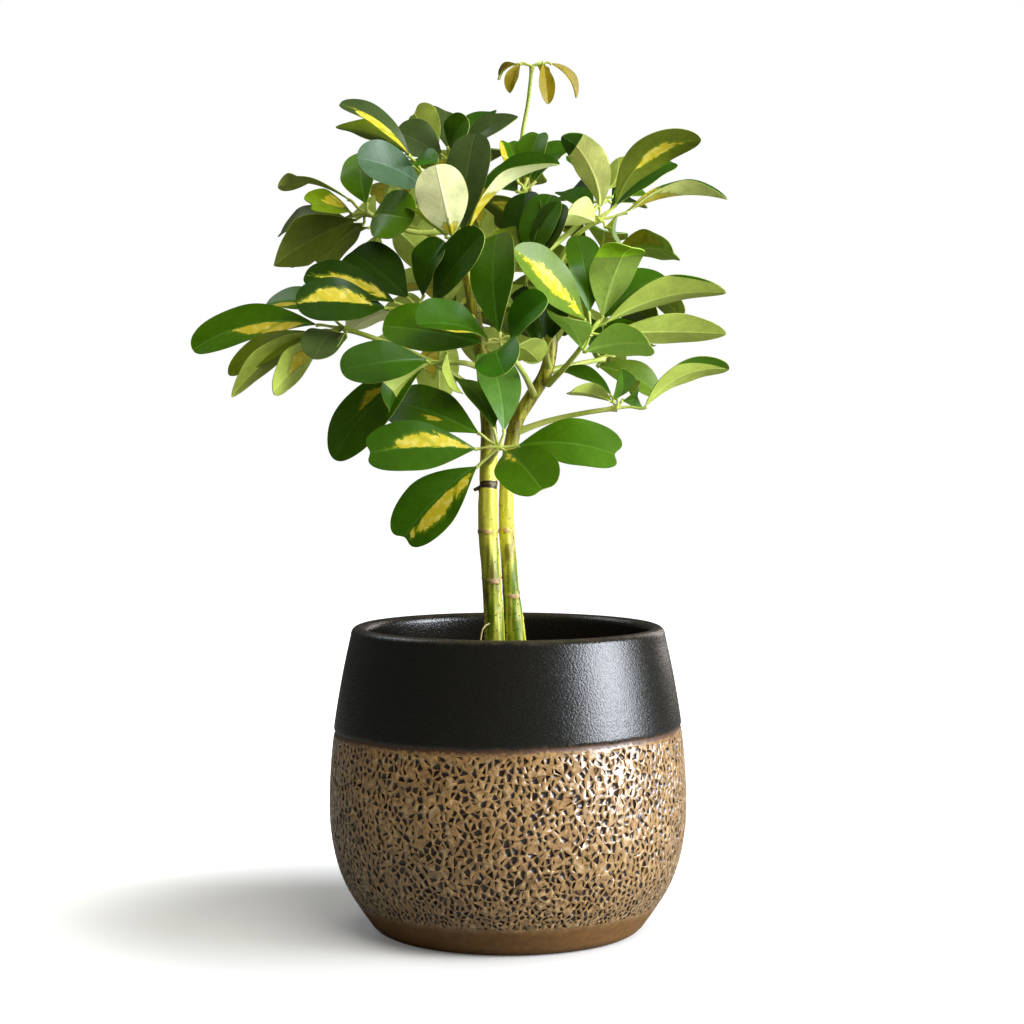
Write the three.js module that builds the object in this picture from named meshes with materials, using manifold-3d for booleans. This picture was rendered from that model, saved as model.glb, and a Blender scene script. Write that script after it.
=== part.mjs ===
// A variegated umbrella plant in a round glazed pot: two canes, their compound leaves, the soil and the pot.
// Millimetres, +Z up. The origin is the middle of the pot's foot, on the ground, and -Y faces the viewer.
import * as THREE from 'three';
import { mergeVertices } from 'three/addons/utils/BufferGeometryUtils.js';
import Module from 'manifold-3d';

const wasm = await Module();
wasm.setup();

// Pot
const POT_SEGMENTS = 32;
const POT_HEIGHT = 152.5;
const POT_WALL = 8.5;
const POT_FLOOR = 9;
const FLOOR_CORNER = 12;
const FOOT_RADIUS = 64;
const LIP_RADIUS = 3.9;
const LIP_CENTRE_RADIUS = 74.8;
const OUTER_WALL = [[68.5, 3.5], [75.5, 13.5], [85.4, 33.5], [89.5, 63.5], [86.7, 103.5], [79.8, 143.5]];
const OUTER_STEPS = 12;
const INNER_STEPS = 6;
const LIP_STEPS = 4;

// Soil
const SOIL_TOP = 130;
const CLEARANCE = 0.3;

// Canes
const CANE_SIDES = 8;
const CANE_FOOT = 96;
const RING_SWELL = 0.45;
const RING_HALF_HEIGHT = 1.6;
const CANE_STEPS = 18;
const SHORTEST_STEP = 0.5;

// Leaves
const STALK_SIDES = 4;
const STALK_STEPS = 4;
const STALK_RADIUS = 1.25;
const STALK_FOOT_RADIUS = 1.9;
const HUB_RADIUS = 3;
const LITTLE_STALK = { half: 0.7, lift: 0, edge: 0, middle: 0.65 };
const BLADE_HALF = 0.36;
const BLADE_STATIONS = [0, 0.25, 0.55, 0.85, 0.98];
const WIDEST_AT = 0.6;
const BASE_POWER = 1.1;
const TIP_POWER = 2.4;
const SKYWARD_LEAN = 0.8;

// The photograph's eye. What is read off the picture is turned into millimetres by it.
const EYE = new THREE.Vector3(2, -1195, 265);
const EYE_DROP = THREE.MathUtils.degToRad(2.66);
const FOCAL_PX = 2390;
const CENTRE_PX = 512;
const FORWARD = new THREE.Vector3(0, Math.cos(EYE_DROP), -Math.sin(EYE_DROP));
const UPWARD = new THREE.Vector3(0, Math.sin(EYE_DROP), Math.cos(EYE_DROP));
const SKY = new THREE.Vector3(0, 0, 1);

// The point seen at a pixel of the photograph, on the upright plane that lies `depth` behind the pot's axis
function at([px, py], depth) {
  const ray = FORWARD.clone().multiplyScalar(FOCAL_PX);
  ray.addScaledVector(UPWARD, CENTRE_PX - py);
  ray.x += px - CENTRE_PX;
  return EYE.clone().addScaledVector(ray, (depth - EYE.y) / ray.y);
}

// Canes, from the soil up: where the middle is seen, how far back it lies, and how thick it is
const CANES = {
  stem_left: {
    course: [
      { spot: [494.5, 640], depth: 0, radius: 5.2 },
      { spot: [493.5, 610], depth: 0, radius: 4.9 },
      { spot: [491, 575], depth: 0, radius: 4.8 },
      { spot: [488.5, 540], depth: 0, radius: 4.8 },
      { spot: [487.5, 510], depth: 0, radius: 4.7 },
      { spot: [488.5, 475], depth: 1, radius: 4.5 },
      { spot: [489, 440], depth: 2, radius: 4.1 },
      { spot: [486, 395], depth: 3, radius: 3.7 },
      { spot: [480, 345], depth: 4, radius: 3.3 },
      { spot: [471, 295], depth: 5, radius: 2.9 },
      { spot: [462, 245], depth: 7, radius: 2.5 },
      { spot: [455, 200], depth: 10, radius: 2.1 },
      { spot: [451, 168], depth: 14, radius: 1.8 },
    ],
    rings: [[493, 612], [490.5, 577], [488, 532], [488, 486], [489, 446]],
  },
  stem_right: {
    course: [
      { spot: [515.5, 640], depth: 6, radius: 5.2 },
      { spot: [513, 610], depth: 6, radius: 4.6 },
      { spot: [510, 580], depth: 6, radius: 4.1 },
      { spot: [507.5, 545], depth: 6, radius: 3.9 },
      { spot: [506, 510], depth: 7, radius: 3.6 },
      { spot: [507, 475], depth: 8, radius: 3.5 },
      { spot: [511, 445], depth: 8, radius: 3.5 },
      { spot: [517, 420], depth: 8, radius: 3.5 },
      { spot: [531, 397], depth: 8, radius: 3.4 },
      { spot: [545, 374], depth: 8, radius: 3.3 },
      { spot: [551, 348], depth: 8, radius: 3.1 },
      { spot: [549, 310], depth: 8, radius: 2.8 },
      { spot: [543, 265], depth: 9, radius: 2.5 },
      { spot: [533, 215], depth: 11, radius: 2.1 },
      { spot: [525, 175], depth: 14, radius: 1.7 },
    ],
    rings: [[513.5, 621], [511, 593], [506.5, 532], [515, 427]],
  },
};

// Compound leaves. `hub` is where the leaflets meet and `depth` how far back it lies; `stalk` goes from the
// cane to the hub. Each leaflet has the spots where its blade starts and ends, how far back its tip lies from
// its base (reach), its full width, how much of its upper face is seen (show: 1 all, -1 the underside),
// how far its midrib bows out of its upper face (arch) and skywards within the blade's plane (rise), how far
// its edges stand up (cup), and its notch, as a share of its length.
const LEAVES = [
  {
    name: 'leaf_low_front',
    hub: [499, 447],
    depth: -50,
    stalk: [{ spot: [489, 462], depth: 1 }, { spot: [493, 456], depth: -25 }],
    leaflets: [
      { base: [478, 466], tip: [402, 541], reach: -10, width: 25, show: 0.95, arch: 3, rise: 2, notch: 0.05 },
      { base: [477, 448], tip: [365, 450], reach: -16, width: 26, show: 0.9, arch: 4, notch: 0.04 },
      { base: [480, 434], tip: [391, 402], reach: 34, width: 26, show: 0.85, arch: 4 },
      { base: [504, 432], tip: [488, 355], reach: 24, width: 23, show: 0.85, arch: 4 },
      { base: [494, 430], tip: [460, 379], reach: 34, width: 22, show: 0.6, arch: 4 },
      { base: [517, 445], tip: [622, 455], reach: -6, width: 25, show: 0.9, arch: 5, rise: 4, notch: 0.07 },
      { base: [506, 451], tip: [545, 492], reach: -40, width: 29, show: 0.95, arch: 4, notch: 0.05 },
    ],
  },
  {
    name: 'leaf_mid_left',
    hub: [440, 362],
    depth: -38,
    stalk: [{ spot: [483, 368], depth: 3 }, { spot: [464, 363], depth: -18 }],
    leaflets: [
      { base: [428, 361], tip: [341, 370], reach: -20, width: 22, show: 0.9, arch: 3 },
      { base: [425, 366], tip: [334, 459], reach: 10, width: 26, show: 0.92, arch: 5, rise: 3 },
      { base: [430, 362], tip: [380, 408], reach: -10, width: 18, show: -0.4, arch: 8 },
      { base: [447, 352], tip: [462, 393], reach: -6, width: 14, show: -0.3, arch: 2 },
    ],
  },
  {
    name: 'leaf_centre_front',
    hub: [501, 342],
    depth: -80,
    stalk: [{ spot: [534, 395], depth: 8 }, { spot: [524, 374], depth: -34 }],
    leaflets: [
      { base: [489, 338], tip: [417, 322], reach: -28, width: 27, show: 0.66, arch: 4, cup: 5 },
      { base: [484, 343], tip: [383, 326], reach: -2, width: 24, show: 0.9, arch: 3 },
      { base: [502, 350], tip: [505, 374], reach: -34, width: 23, show: 0.9, arch: 5 },
      { base: [509, 344], tip: [548, 298], reach: -24, width: 24, show: 0.75, arch: 3, cup: 5 },
      { base: [511, 336], tip: [529, 302], reach: 14, width: 20, show: 0.3, arch: 3 },
      { base: [500, 335], tip: [497, 235], reach: 30, width: 24, show: 0.9, arch: 5 },
      { base: [510, 350], tip: [538, 361], reach: 30, width: 18, show: -0.6 },
    ],
  },
  {
    name: 'leaf_upper_centre',
    hub: [457, 241],
    depth: -42,
    stalk: [{ spot: [466, 268], depth: 6 }, { spot: [462, 254], depth: -16 }],
    leaflets: [
      { base: [454, 234], tip: [449, 165], reach: -16, width: 26, show: -0.92, arch: -3 },
      { base: [463, 234], tip: [475, 134], reach: 12, width: 23, show: 0.9, arch: 3 },
      { base: [466, 236], tip: [560, 165], reach: -8, width: 22, show: 0.45, arch: 7, rise: 4, cup: 4 },
      { base: [447, 238], tip: [415, 209], reach: 30, width: 22, show: 0.6, arch: 4 },
    ],
  },
  {
    name: 'leaf_left_centre',
    hub: [418, 308],
    depth: -38,
    stalk: [{ spot: [474, 318], depth: 4 }, { spot: [446, 312], depth: -20 }],
    leaflets: [
      { base: [423, 297], tip: [444, 241], reach: -8, width: 22, show: 0.6, arch: 3, cup: 4 },
      { base: [433, 303], tip: [484, 234], reach: -30, width: 23, show: 0.75, arch: 3, cup: 3 },
      { base: [409, 299], tip: [352, 252], reach: 22, width: 27, show: 0.9, arch: 3 },
      { base: [396, 303], tip: [305, 275], reach: 2, width: 22, show: 0.75, arch: 4 },
      { base: [386, 308], tip: [296, 303], reach: -22, width: 23, show: 0.88, arch: 4 },
      { base: [398, 313], tip: [352, 329], reach: 34, width: 18, show: -0.5, arch: 3 },
    ],
  },
  {
    name: 'leaf_far_left',
    hub: [344, 328],
    depth: -28,
    stalk: [
      { spot: [486, 397], depth: 3 },
      { spot: [430, 361], depth: -14 },
      { spot: [385, 342], depth: -26 },
    ],
    leaflets: [
      { base: [318, 325], tip: [193, 350], reach: 2, width: 21, show: 0.85, arch: 3, rise: 6 },
      { base: [320, 330], tip: [228, 368], reach: -14, width: 19, show: 0.8, arch: 4, rise: 3 },
      { base: [321, 331], tip: [232, 397], reach: -24, width: 18, show: -0.75, arch: 3, rise: 4 },
      { base: [329, 333], tip: [273, 391], reach: -34, width: 21, show: -0.75, arch: 3, rise: -3 },
      { base: [337, 333], tip: [314, 359], reach: -42, width: 20, show: 0.85, arch: 4 },
      { base: [346, 337], tip: [332, 352], reach: -34, width: 14, show: 0.4, arch: 3 },
      { base: [331, 316], tip: [266, 305], reach: 30, width: 20, show: 0.6, arch: 3, rise: 4 },
    ],
  },
  {
    name: 'leaf_left_high',
    hub: [366, 213],
    depth: -4,
    stalk: [{ spot: [459, 230], depth: 8 }, { spot: [415, 232], depth: 4 }],
    leaflets: [
      { base: [350, 200], tip: [278, 184], reach: 24, width: 15, show: 0.5, arch: 4, rise: 6 },
      { base: [350, 207], tip: [305, 197], reach: -34, width: 22, show: 0.6, arch: 4 },
      { base: [365, 204], tip: [355, 152], reach: 22, width: 24, show: 0.85, arch: 3 },
      { base: [348, 219], tip: [281, 233], reach: 26, width: 18, show: 0.6, arch: 5 },
      { base: [357, 219], tip: [286, 258], reach: -20, width: 26, show: -0.8, arch: 4 },
      { base: [364, 223], tip: [322, 266], reach: 10, width: 24, show: -0.7, arch: 4 },
      { base: [375, 214], tip: [410, 222], reach: -38, width: 25, show: -0.8, arch: 4 },
    ],
  },
  {
    name: 'leaf_upper_left',
    hub: [424, 176],
    depth: -12,
    stalk: [{ spot: [456, 207], depth: 9 }, { spot: [440, 192], depth: 0 }],
    leaflets: [
      { base: [418, 183], tip: [359, 156], reach: -30, width: 24, show: 0.8, arch: 4 },
      { base: [410, 158], tip: [340, 103], reach: -8, width: 20, show: 0.75, arch: 5 },
      { base: [408, 152], tip: [337, 127], reach: 8, width: 18, show: 0.45, arch: 4 },
      { base: [418, 170], tip: [437, 161], reach: -24, width: 16, show: 0.5, arch: 3 },
    ],
  },
  {
    name: 'leaf_top',
    hub: [449, 160],
    depth: 18,
    stalk: [{ spot: [451, 175], depth: 14 }],
    leaflets: [
      { base: [442, 154], tip: [396, 121], reach: -2, width: 22, show: 0.85, arch: 3 },
      { base: [444, 151], tip: [412, 106], reach: 14, width: 22, show: -0.7, arch: 3 },
      { base: [448, 149], tip: [445, 106], reach: 24, width: 21, show: 0.8, arch: 3 },
      { base: [452, 151], tip: [473, 116], reach: -16, width: 18, show: 0.7, arch: 3 },
      { base: [455, 152], tip: [490, 112], reach: 20, width: 20, show: 0.6, arch: 3 },
      { base: [460, 155], tip: [517, 117], reach: -4, width: 18, show: -0.7, arch: 4 },
    ],
  },
  {
    name: 'leaf_young',
    hub: [532, 66],
    depth: 10,
    stalk: [
      { spot: [525, 178], depth: 14 },
      { spot: [522, 140], depth: 14 },
      { spot: [528, 102], depth: 12 },
    ],
    stalkRadius: 0.9,
    leaflets: [
      { base: [521, 63], tip: [511, 93], reach: -5, width: 8, show: 0.9, arch: 1, rise: 1 },
      { base: [543, 62], tip: [548, 104], reach: -6, width: 8.5, show: 0.95, arch: 1 },
      { base: [550, 63], tip: [576, 98], reach: 5, width: 8, show: 0.5, arch: 2, rise: 3 },
      { base: [517, 64], tip: [500, 79], reach: 8, width: 7, show: 0.4, arch: 2 },
      { base: [537, 64], tip: [545, 80], reach: 12, width: 7, show: 0.7, arch: 1 },
    ],
  },
  {
    name: 'leaf_top_centre',
    hub: [524, 190],
    depth: -6,
    stalk: [{ spot: [529, 200], depth: 12 }],
    leaflets: [
      { base: [518, 182], tip: [507, 141], reach: 8, width: 15, show: 0.85, arch: 2, notch: 0.06 },
      { base: [527, 180], tip: [540, 131], reach: 6, width: 16, show: 0.85, arch: 2, notch: 0.05 },
      { base: [534, 183], tip: [572, 147], reach: 8, width: 18, show: 0.6, arch: 3, rise: 3 },
      { base: [518, 192], tip: [492, 186], reach: 30, width: 18, show: 0.6, arch: 3 },
    ],
  },
  {
    name: 'leaf_right_high',
    hub: [600, 219],
    depth: -8,
    stalk: [
      { spot: [549, 312], depth: 8 },
      { spot: [560, 262], depth: 2 },
      { spot: [577, 235], depth: -5 },
    ],
    leaflets: [
      { base: [600, 208], tip: [568, 136], reach: -14, width: 22, show: -0.85, arch: -3, rise: 6 },
      { base: [615, 206], tip: [701, 141], reach: -8, width: 23, show: -0.85, arch: 5, rise: 8 },
      { base: [609, 211], tip: [673, 163], reach: 26, width: 18, show: 0.7, arch: 4 },
      { base: [625, 213], tip: [727, 200], reach: -4, width: 18, show: -0.5, arch: 5, rise: 3, cup: 3 },
      { base: [593, 213], tip: [563, 192], reach: 30, width: 16, show: 0.7, arch: 2 },
      { base: [594, 219], tip: [568, 211], reach: -18, width: 17, show: -0.8, arch: 2 },
      { base: [605, 227], tip: [612, 234], reach: -32, width: 14, show: -0.6, arch: 3 },
    ],
  },
  {
    name: 'leaf_right_high_back',
    hub: [604, 200],
    depth: 42,
    stalk: [{ spot: [541, 255], depth: 10 }, { spot: [577, 226], depth: 28 }],
    leaflets: [
      { base: [605, 190], tip: [618, 158], reach: 20, width: 22, show: -0.6, arch: 4 },
      { base: [612, 197], tip: [648, 196], reach: 22, width: 20, show: 0.5, arch: 4 },
      { base: [611, 203], tip: [634, 204], reach: 38, width: 20, show: 0.5, arch: 4 },
      { base: [597, 192], tip: [580, 160], reach: 30, width: 22, show: 0.8, arch: 4 },
      { base: [594, 202], tip: [566, 196], reach: 36, width: 20, show: 0.7, arch: 4 },
    ],
  },
  {
    name: 'leaf_inner_centre',
    hub: [529, 275],
    depth: -36,
    stalk: [{ spot: [545, 282], depth: 8 }, { spot: [538, 280], depth: -16 }],
    leaflets: [
      { base: [522, 268], tip: [504, 229], reach: 6, width: 20, show: 0.85, arch: 2 },
      { base: [526, 263], tip: [526, 193], reach: 14, width: 22, show: 0.85, arch: 2 },
      { base: [530, 264], tip: [551, 195], reach: 4, width: 21, show: 0.85, arch: 3 },
      { base: [536, 266], tip: [563, 204], reach: -2, width: 18, show: 0.8, arch: 3 },
      { base: [526, 284], tip: [530, 306], reach: 10, width: 16, show: 0.8, arch: 2 },
    ],
  },
  {
    name: 'leaf_inner_low',
    hub: [546, 350],
    depth: -14,
    stalk: [{ spot: [549, 368], depth: 8 }],
    leaflets: [
      { base: [543, 340], tip: [532, 294], reach: -2, width: 18, show: 0.8, arch: 2 },
      { base: [551, 340], tip: [563, 300], reach: 2, width: 18, show: 0.8, arch: 2 },
      { base: [540, 346], tip: [523, 322], reach: -24, width: 15, show: 0.5, arch: 2 },
    ],
  },
  {
    name: 'leaf_right_mid',
    hub: [590, 333],
    depth: -24,
    stalk: [
      { spot: [548, 384], depth: 8 },
      { spot: [566, 366], depth: -8 },
      { spot: [582, 346], depth: -18 },
    ],
    leaflets: [
      { base: [585, 318], tip: [518, 250], reach: -38, width: 26, show: 0.75, arch: 3, cup: 3 },
      { base: [589, 314], tip: [576, 236], reach: 8, width: 19, show: 0.9, arch: 3 },
      { base: [600, 319], tip: [626, 248], reach: -12, width: 25, show: -0.85, arch: 8 },
      { base: [599, 321], tip: [664, 276], reach: 24, width: 22, show: 0.8, arch: 4 },
      { base: [604, 323], tip: [726, 291], reach: 2, width: 20, show: -0.7, arch: 4, rise: 7 },
      { base: [604, 330], tip: [726, 331], reach: 16, width: 21, show: -0.75, arch: 5 },
      { base: [586, 349], tip: [649, 343], reach: -26, width: 19, show: -0.8, arch: 4 },
      { base: [581, 348], tip: [558, 316], reach: -30, width: 22, show: -0.6, arch: 3 },
      { base: [585, 331], tip: [566, 308], reach: 32, width: 18, show: -0.7, arch: 3 },
    ],
  },
  {
    name: 'leaf_right_inner',
    hub: [603, 359],
    depth: 38,
    stalk: [{ spot: [549, 371], depth: 10 }, { spot: [578, 364], depth: 22 }],
    leaflets: [
      { base: [597, 368], tip: [656, 393], reach: -3, width: 19, show: 0.75, arch: 4 },
      { base: [613, 356], tip: [648, 346], reach: 30, width: 18, show: 0.5, arch: 4 },
      { base: [610, 350], tip: [634, 322], reach: 14, width: 20, show: 0.7, arch: 4 },
      { base: [596, 351], tip: [572, 325], reach: 12, width: 20, show: 0.7, arch: 4 },
    ],
  },
  {
    name: 'leaf_right_low',
    hub: [617, 408],
    depth: 4,
    stalk: [{ spot: [514, 433], depth: 8 }, { spot: [548, 421], depth: 7 }, { spot: [584, 413], depth: 5 }],
    leaflets: [
      { base: [644, 408], tip: [728, 369], reach: 2, width: 17, show: -0.75, arch: 3, rise: 5 },
      { base: [613, 402], tip: [571, 392], reach: -30, width: 15, show: -0.5, arch: 3 },
      { base: [612, 396], tip: [563, 371], reach: 6, width: 18, show: 0.35, arch: 3 },
      { base: [617, 398], tip: [612, 374], reach: -28, width: 14, show: 0.8, arch: 3 },
      { base: [622, 401], tip: [629, 390], reach: 10, width: 14, show: 0.5, arch: 6 },
    ],
  },
];

// Compound leaves on the far side: the cane and height they grow from, their heading seen from above
// (0 to the right, 90 straight back), how steeply their stalk rises, and its length
const FAR_LEAVES = [
  { name: 'leaf_back_low_left', cane: 'stem_left', height: 285, heading: 115, rise: 25, stalk: 50 },
  { name: 'leaf_back_low_right', cane: 'stem_right', height: 301, heading: 73, rise: 22, stalk: 52 },
  { name: 'leaf_back_mid', cane: 'stem_left', height: 308, heading: 84, rise: 13, stalk: 79 },
  { name: 'leaf_back_left', cane: 'stem_left', height: 336, heading: 134, rise: 20, stalk: 64 },
  { name: 'leaf_back_right', cane: 'stem_right', height: 328, heading: 59, rise: 12, stalk: 57 },
  { name: 'leaf_back_high', cane: 'stem_left', height: 352, heading: 89, rise: 23, stalk: 62 },
];
const FAR_LEAFLETS = 7;
const FAR_SEED = 41;
const FAR_BLADE_STATIONS = [0, 0.3, 0.68, 0.97];
const FAR_STALK_GAP = 9;
const FAR_STALK_BEND = 4;
const FAR_OUTWARD_LEAN = 0.75;
const FAR_ANGLE_SPREAD = 0.5;
const FAR_DROOP = { least: 4, spread: 22 };
const FAR_LENGTH = { least: 35.7, spread: 12.6 };
const FAR_WIDTH = { least: 19.8, spread: 4.4 };
const FAR_ARCH = { least: 3, spread: 3 };

// Seeded draws between 0 and 1, the same on every run
const DRAW_FACTOR = 16807;
const DRAW_MODULUS = 2147483647;
function draws(seed) {
  let state = seed;
  return () => {
    state = (state * DRAW_FACTOR) % DRAW_MODULUS;
    return state / DRAW_MODULUS;
  };
}

// Closed solid through rings of points, each counterclockwise about the way onwards. The two halves of each
// ring are split along mirrored diagonals, so a blade's upper and lower faces fold alike.
function loft(rings) {
  const count = rings[0].length;
  const index = [];
  for (let i = 0; i < rings.length - 1; i++) {
    for (let j = 0; j < count; j++) {
      const next = (j + 1) % count;
      const a = i * count + j;
      const b = i * count + next;
      const c = (i + 1) * count + next;
      const d = (i + 1) * count + j;
      if (j < count / 2) index.push(a, b, c, a, c, d);
      else index.push(a, b, d, b, c, d);
    }
  }
  const last = (rings.length - 1) * count;
  for (let j = 1; j < count - 1; j++) {
    index.push(0, j + 1, j);
    index.push(last, last + j, last + j + 1);
  }
  const geometry = new THREE.BufferGeometry().setFromPoints(rings.flat());
  geometry.setIndex(index);
  return geometry;
}

// Tube along a curve, at the given stops along it, with the thickness asked for at each
function tube(curve, stops, radiusAt, sides) {
  let across = new THREE.Vector3(1, 0, 0.01);
  const rings = stops.map((stop) => {
    const middle = curve.getPointAt(stop);
    const onward = curve.getTangentAt(stop);
    across = across.clone().addScaledVector(onward, -across.dot(onward)).normalize();
    const third = onward.clone().cross(across);
    const radius = radiusAt(stop, middle);
    return Array.from({ length: sides }, (_, k) => {
      const turn = (k / sides) * 2 * Math.PI;
      const point = middle.clone().addScaledVector(across, radius * Math.cos(turn));
      return point.addScaledVector(third, radius * Math.sin(turn));
    });
  });
  return loft(rings);
}

// Solid for joining and cutting, made from a closed geometry
function solid(geometry) {
  const bare = geometry.clone();
  bare.deleteAttribute('normal');
  bare.deleteAttribute('uv');
  const merged = mergeVertices(bare, 1e-4);
  const triVerts = [];
  for (let i = 0; i < merged.index.count; i += 3) {
    const corners = [0, 1, 2].map((k) => merged.index.getX(i + k));
    if (new Set(corners).size === 3) triVerts.push(...corners);
  }
  return new wasm.Manifold(new wasm.Mesh({
    numProp: 3,
    vertProperties: Float32Array.from(merged.attributes.position.array),
    triVerts: Uint32Array.from(triVerts),
  }));
}

function mesh(name, body, look) {
  const { vertProperties, triVerts } = body.getMesh();
  const geometry = new THREE.BufferGeometry();
  geometry.setAttribute('position', new THREE.BufferAttribute(vertProperties, 3));
  geometry.setIndex(new THREE.BufferAttribute(triVerts, 1));
  geometry.computeVertexNormals();
  const piece = new THREE.Mesh(geometry, new THREE.MeshStandardMaterial(look));
  piece.name = name;
  return piece;
}

// Pot and soil

const outerWall = new THREE.SplineCurve(OUTER_WALL.map((point) => new THREE.Vector2(...point)));

// Inner wall: the outer one, one wall's thickness further in
const innerWall = outerWall.getSpacedPoints(INNER_STEPS)
  .filter((point) => point.y > POT_FLOOR)
  .map((point) => new THREE.Vector2(point.x - POT_WALL, point.y));

function potSolid() {
  const lip = Array.from({ length: LIP_STEPS + 1 }, (_, k) => {
    const turn = (k / LIP_STEPS) * Math.PI;
    const radius = LIP_CENTRE_RADIUS + LIP_RADIUS * Math.cos(turn);
    return new THREE.Vector2(radius, POT_HEIGHT - LIP_RADIUS + LIP_RADIUS * Math.sin(turn));
  });
  const profile = [
    new THREE.Vector2(0, 0),
    new THREE.Vector2(FOOT_RADIUS, 0),
    ...outerWall.getSpacedPoints(OUTER_STEPS),
    ...lip,
    ...innerWall.toReversed(),
    new THREE.Vector2(innerWall[0].x - FLOOR_CORNER, POT_FLOOR),
    new THREE.Vector2(0, POT_FLOOR),
  ];
  return solid(new THREE.LatheGeometry(profile, POT_SEGMENTS).rotateX(Math.PI / 2));
}

function soilSolid() {
  const sides = innerWall.filter((point) => point.y < SOIL_TOP)
    .map((point) => new THREE.Vector2(point.x - CLEARANCE, point.y));
  const above = innerWall.find((point) => point.y >= SOIL_TOP);
  const below = sides[sides.length - 1];
  const share = (SOIL_TOP - below.y) / (above.y - below.y);
  const topRadius = below.x + (above.x - CLEARANCE - below.x) * share;
  const profile = [
    new THREE.Vector2(0, POT_FLOOR + CLEARANCE),
    new THREE.Vector2(innerWall[0].x - FLOOR_CORNER - CLEARANCE, POT_FLOOR + CLEARANCE),
    ...sides,
    new THREE.Vector2(topRadius, SOIL_TOP),
    new THREE.Vector2(0, SOIL_TOP),
  ];
  return solid(new THREE.LatheGeometry(profile, POT_SEGMENTS).rotateX(Math.PI / 2));
}

// Canes

function caneSolid({ course, rings }, spare) {
  const points = course.map(({ spot, depth }) => at(spot, depth));
  const foot = points[0].clone();
  foot.z = CANE_FOOT - spare;
  const curve = new THREE.CatmullRomCurve3([foot, ...points], false, 'centripetal');
  const heights = points.map((point) => point.z);
  const radii = course.map(({ radius }) => radius);
  const ringHeights = rings.map((spot) => at(spot, 0).z);
  const radiusAt = (stop, { z }) => {
    let k = 0;
    while (k < heights.length - 2 && z > heights[k + 1]) k++;
    const share = THREE.MathUtils.clamp((z - heights[k]) / (heights[k + 1] - heights[k]), 0, 1);
    const swell = ringHeights.some((height) => Math.abs(z - height) < RING_HALF_HEIGHT / 2) ? RING_SWELL : 0;
    return THREE.MathUtils.lerp(radii[k], radii[k + 1], share) + swell + spare;
  };
  const length = curve.getLength();
  const stops = Array.from({ length: CANE_STEPS + 1 }, (_, k) => k / CANE_STEPS);
  for (const height of ringHeights) {
    const middle = stopAtHeight(curve, height);
    stops.push(middle, middle - RING_HALF_HEIGHT / length, middle + RING_HALF_HEIGHT / length);
  }
  stops.sort((a, b) => a - b);
  const clear = stops.filter((stop, k) => k === 0 || stop - stops[k - 1] > SHORTEST_STEP / length);
  return { curve, body: solid(tube(curve, clear, radiusAt, CANE_SIDES)) };
}

// How far along a rising curve it reaches a height, found by halving
const HALVINGS = 24;
function stopAtHeight(curve, height) {
  let low = 0;
  let high = 1;
  for (let k = 0; k < HALVINGS; k++) {
    const middle = (low + high) / 2;
    if (curve.getPointAt(middle).z < height) low = middle;
    else high = middle;
  }
  return (low + high) / 2;
}

// Leaves

// Half width of a blade, as a share of its widest: a wedge at the base, widest past the middle, round tip
function bladeShare(u) {
  if (u < WIDEST_AT) return Math.sin((Math.PI / 2) * (u / WIDEST_AT)) ** BASE_POWER;
  const past = (u - WIDEST_AT) / (1 - WIDEST_AT);
  return (1 - past ** TIP_POWER) ** (1 / TIP_POWER);
}

// One leaflet: its own little stalk from the hub and its bowed blade, six points to a ring
function leafletSolid(hub, leaflet) {
  const { base, tip, upper, width, stations = BLADE_STATIONS } = leaflet;
  const { arch = 4, rise = 0, cup = 2, notch = 0 } = leaflet;
  const chord = tip.clone().sub(base);
  const length = chord.length();
  const skyward = chord.clone().cross(upper).normalize();
  if (skyward.z < 0) skyward.negate();
  const start = base.clone().sub(hub).normalize();
  const rings = [section(hub, hub, start, upper, LITTLE_STALK)];
  for (const u of stations) {
    const bow = 4 * u * (1 - u);
    const turn = 4 * (1 - 2 * u);
    const middle = base.clone().addScaledVector(chord, u);
    middle.addScaledVector(upper, arch * bow).addScaledVector(skyward, rise * bow);
    const onward = chord.clone().addScaledVector(upper, arch * turn);
    onward.addScaledVector(skyward, rise * turn).normalize();
    if (u === 0) {
      rings.push(section(middle, middle, onward, upper, LITTLE_STALK));
      continue;
    }
    const share = bladeShare(u);
    const ridge = middle.clone();
    if (u === stations[stations.length - 1]) ridge.addScaledVector(onward, length * (1 - u - notch));
    const size = { half: (width / 2) * share, lift: cup * share, edge: BLADE_HALF, middle: BLADE_HALF };
    rings.push(section(middle, ridge, onward, upper, size));
  }
  return solid(loft(rings));
}

// Six points: the upper face's left edge, ridge and right edge, then the lower face's, back again
function section(middle, ridge, onward, upper, size) {
  const normal = upper.clone().addScaledVector(onward, -upper.dot(onward)).normalize();
  const side = onward.clone().cross(normal);
  const spot = (from, across, up) => from.clone().addScaledVector(side, across).addScaledVector(normal, up);
  return [
    spot(middle, -size.half, size.lift + size.edge),
    spot(ridge, 0, size.middle),
    spot(middle, size.half, size.lift + size.edge),
    spot(middle, size.half, size.lift - size.edge),
    spot(ridge, 0, -size.middle),
    spot(middle, -size.half, size.lift - size.edge),
  ];
}

// The way a leaflet's upper face looks, from how much of it the photograph shows, the rest turned to the sky
function facing(base, tip, show, whorlAxis) {
  const along = tip.clone().sub(base).normalize();
  const view = EYE.clone().sub(base);
  view.addScaledVector(along, -view.dot(along)).normalize();
  const other = along.clone().cross(view);
  if (other.dot(whorlAxis) < 0) other.negate();
  return view.multiplyScalar(show).addScaledVector(other, Math.sqrt(1 - show * show));
}

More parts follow.
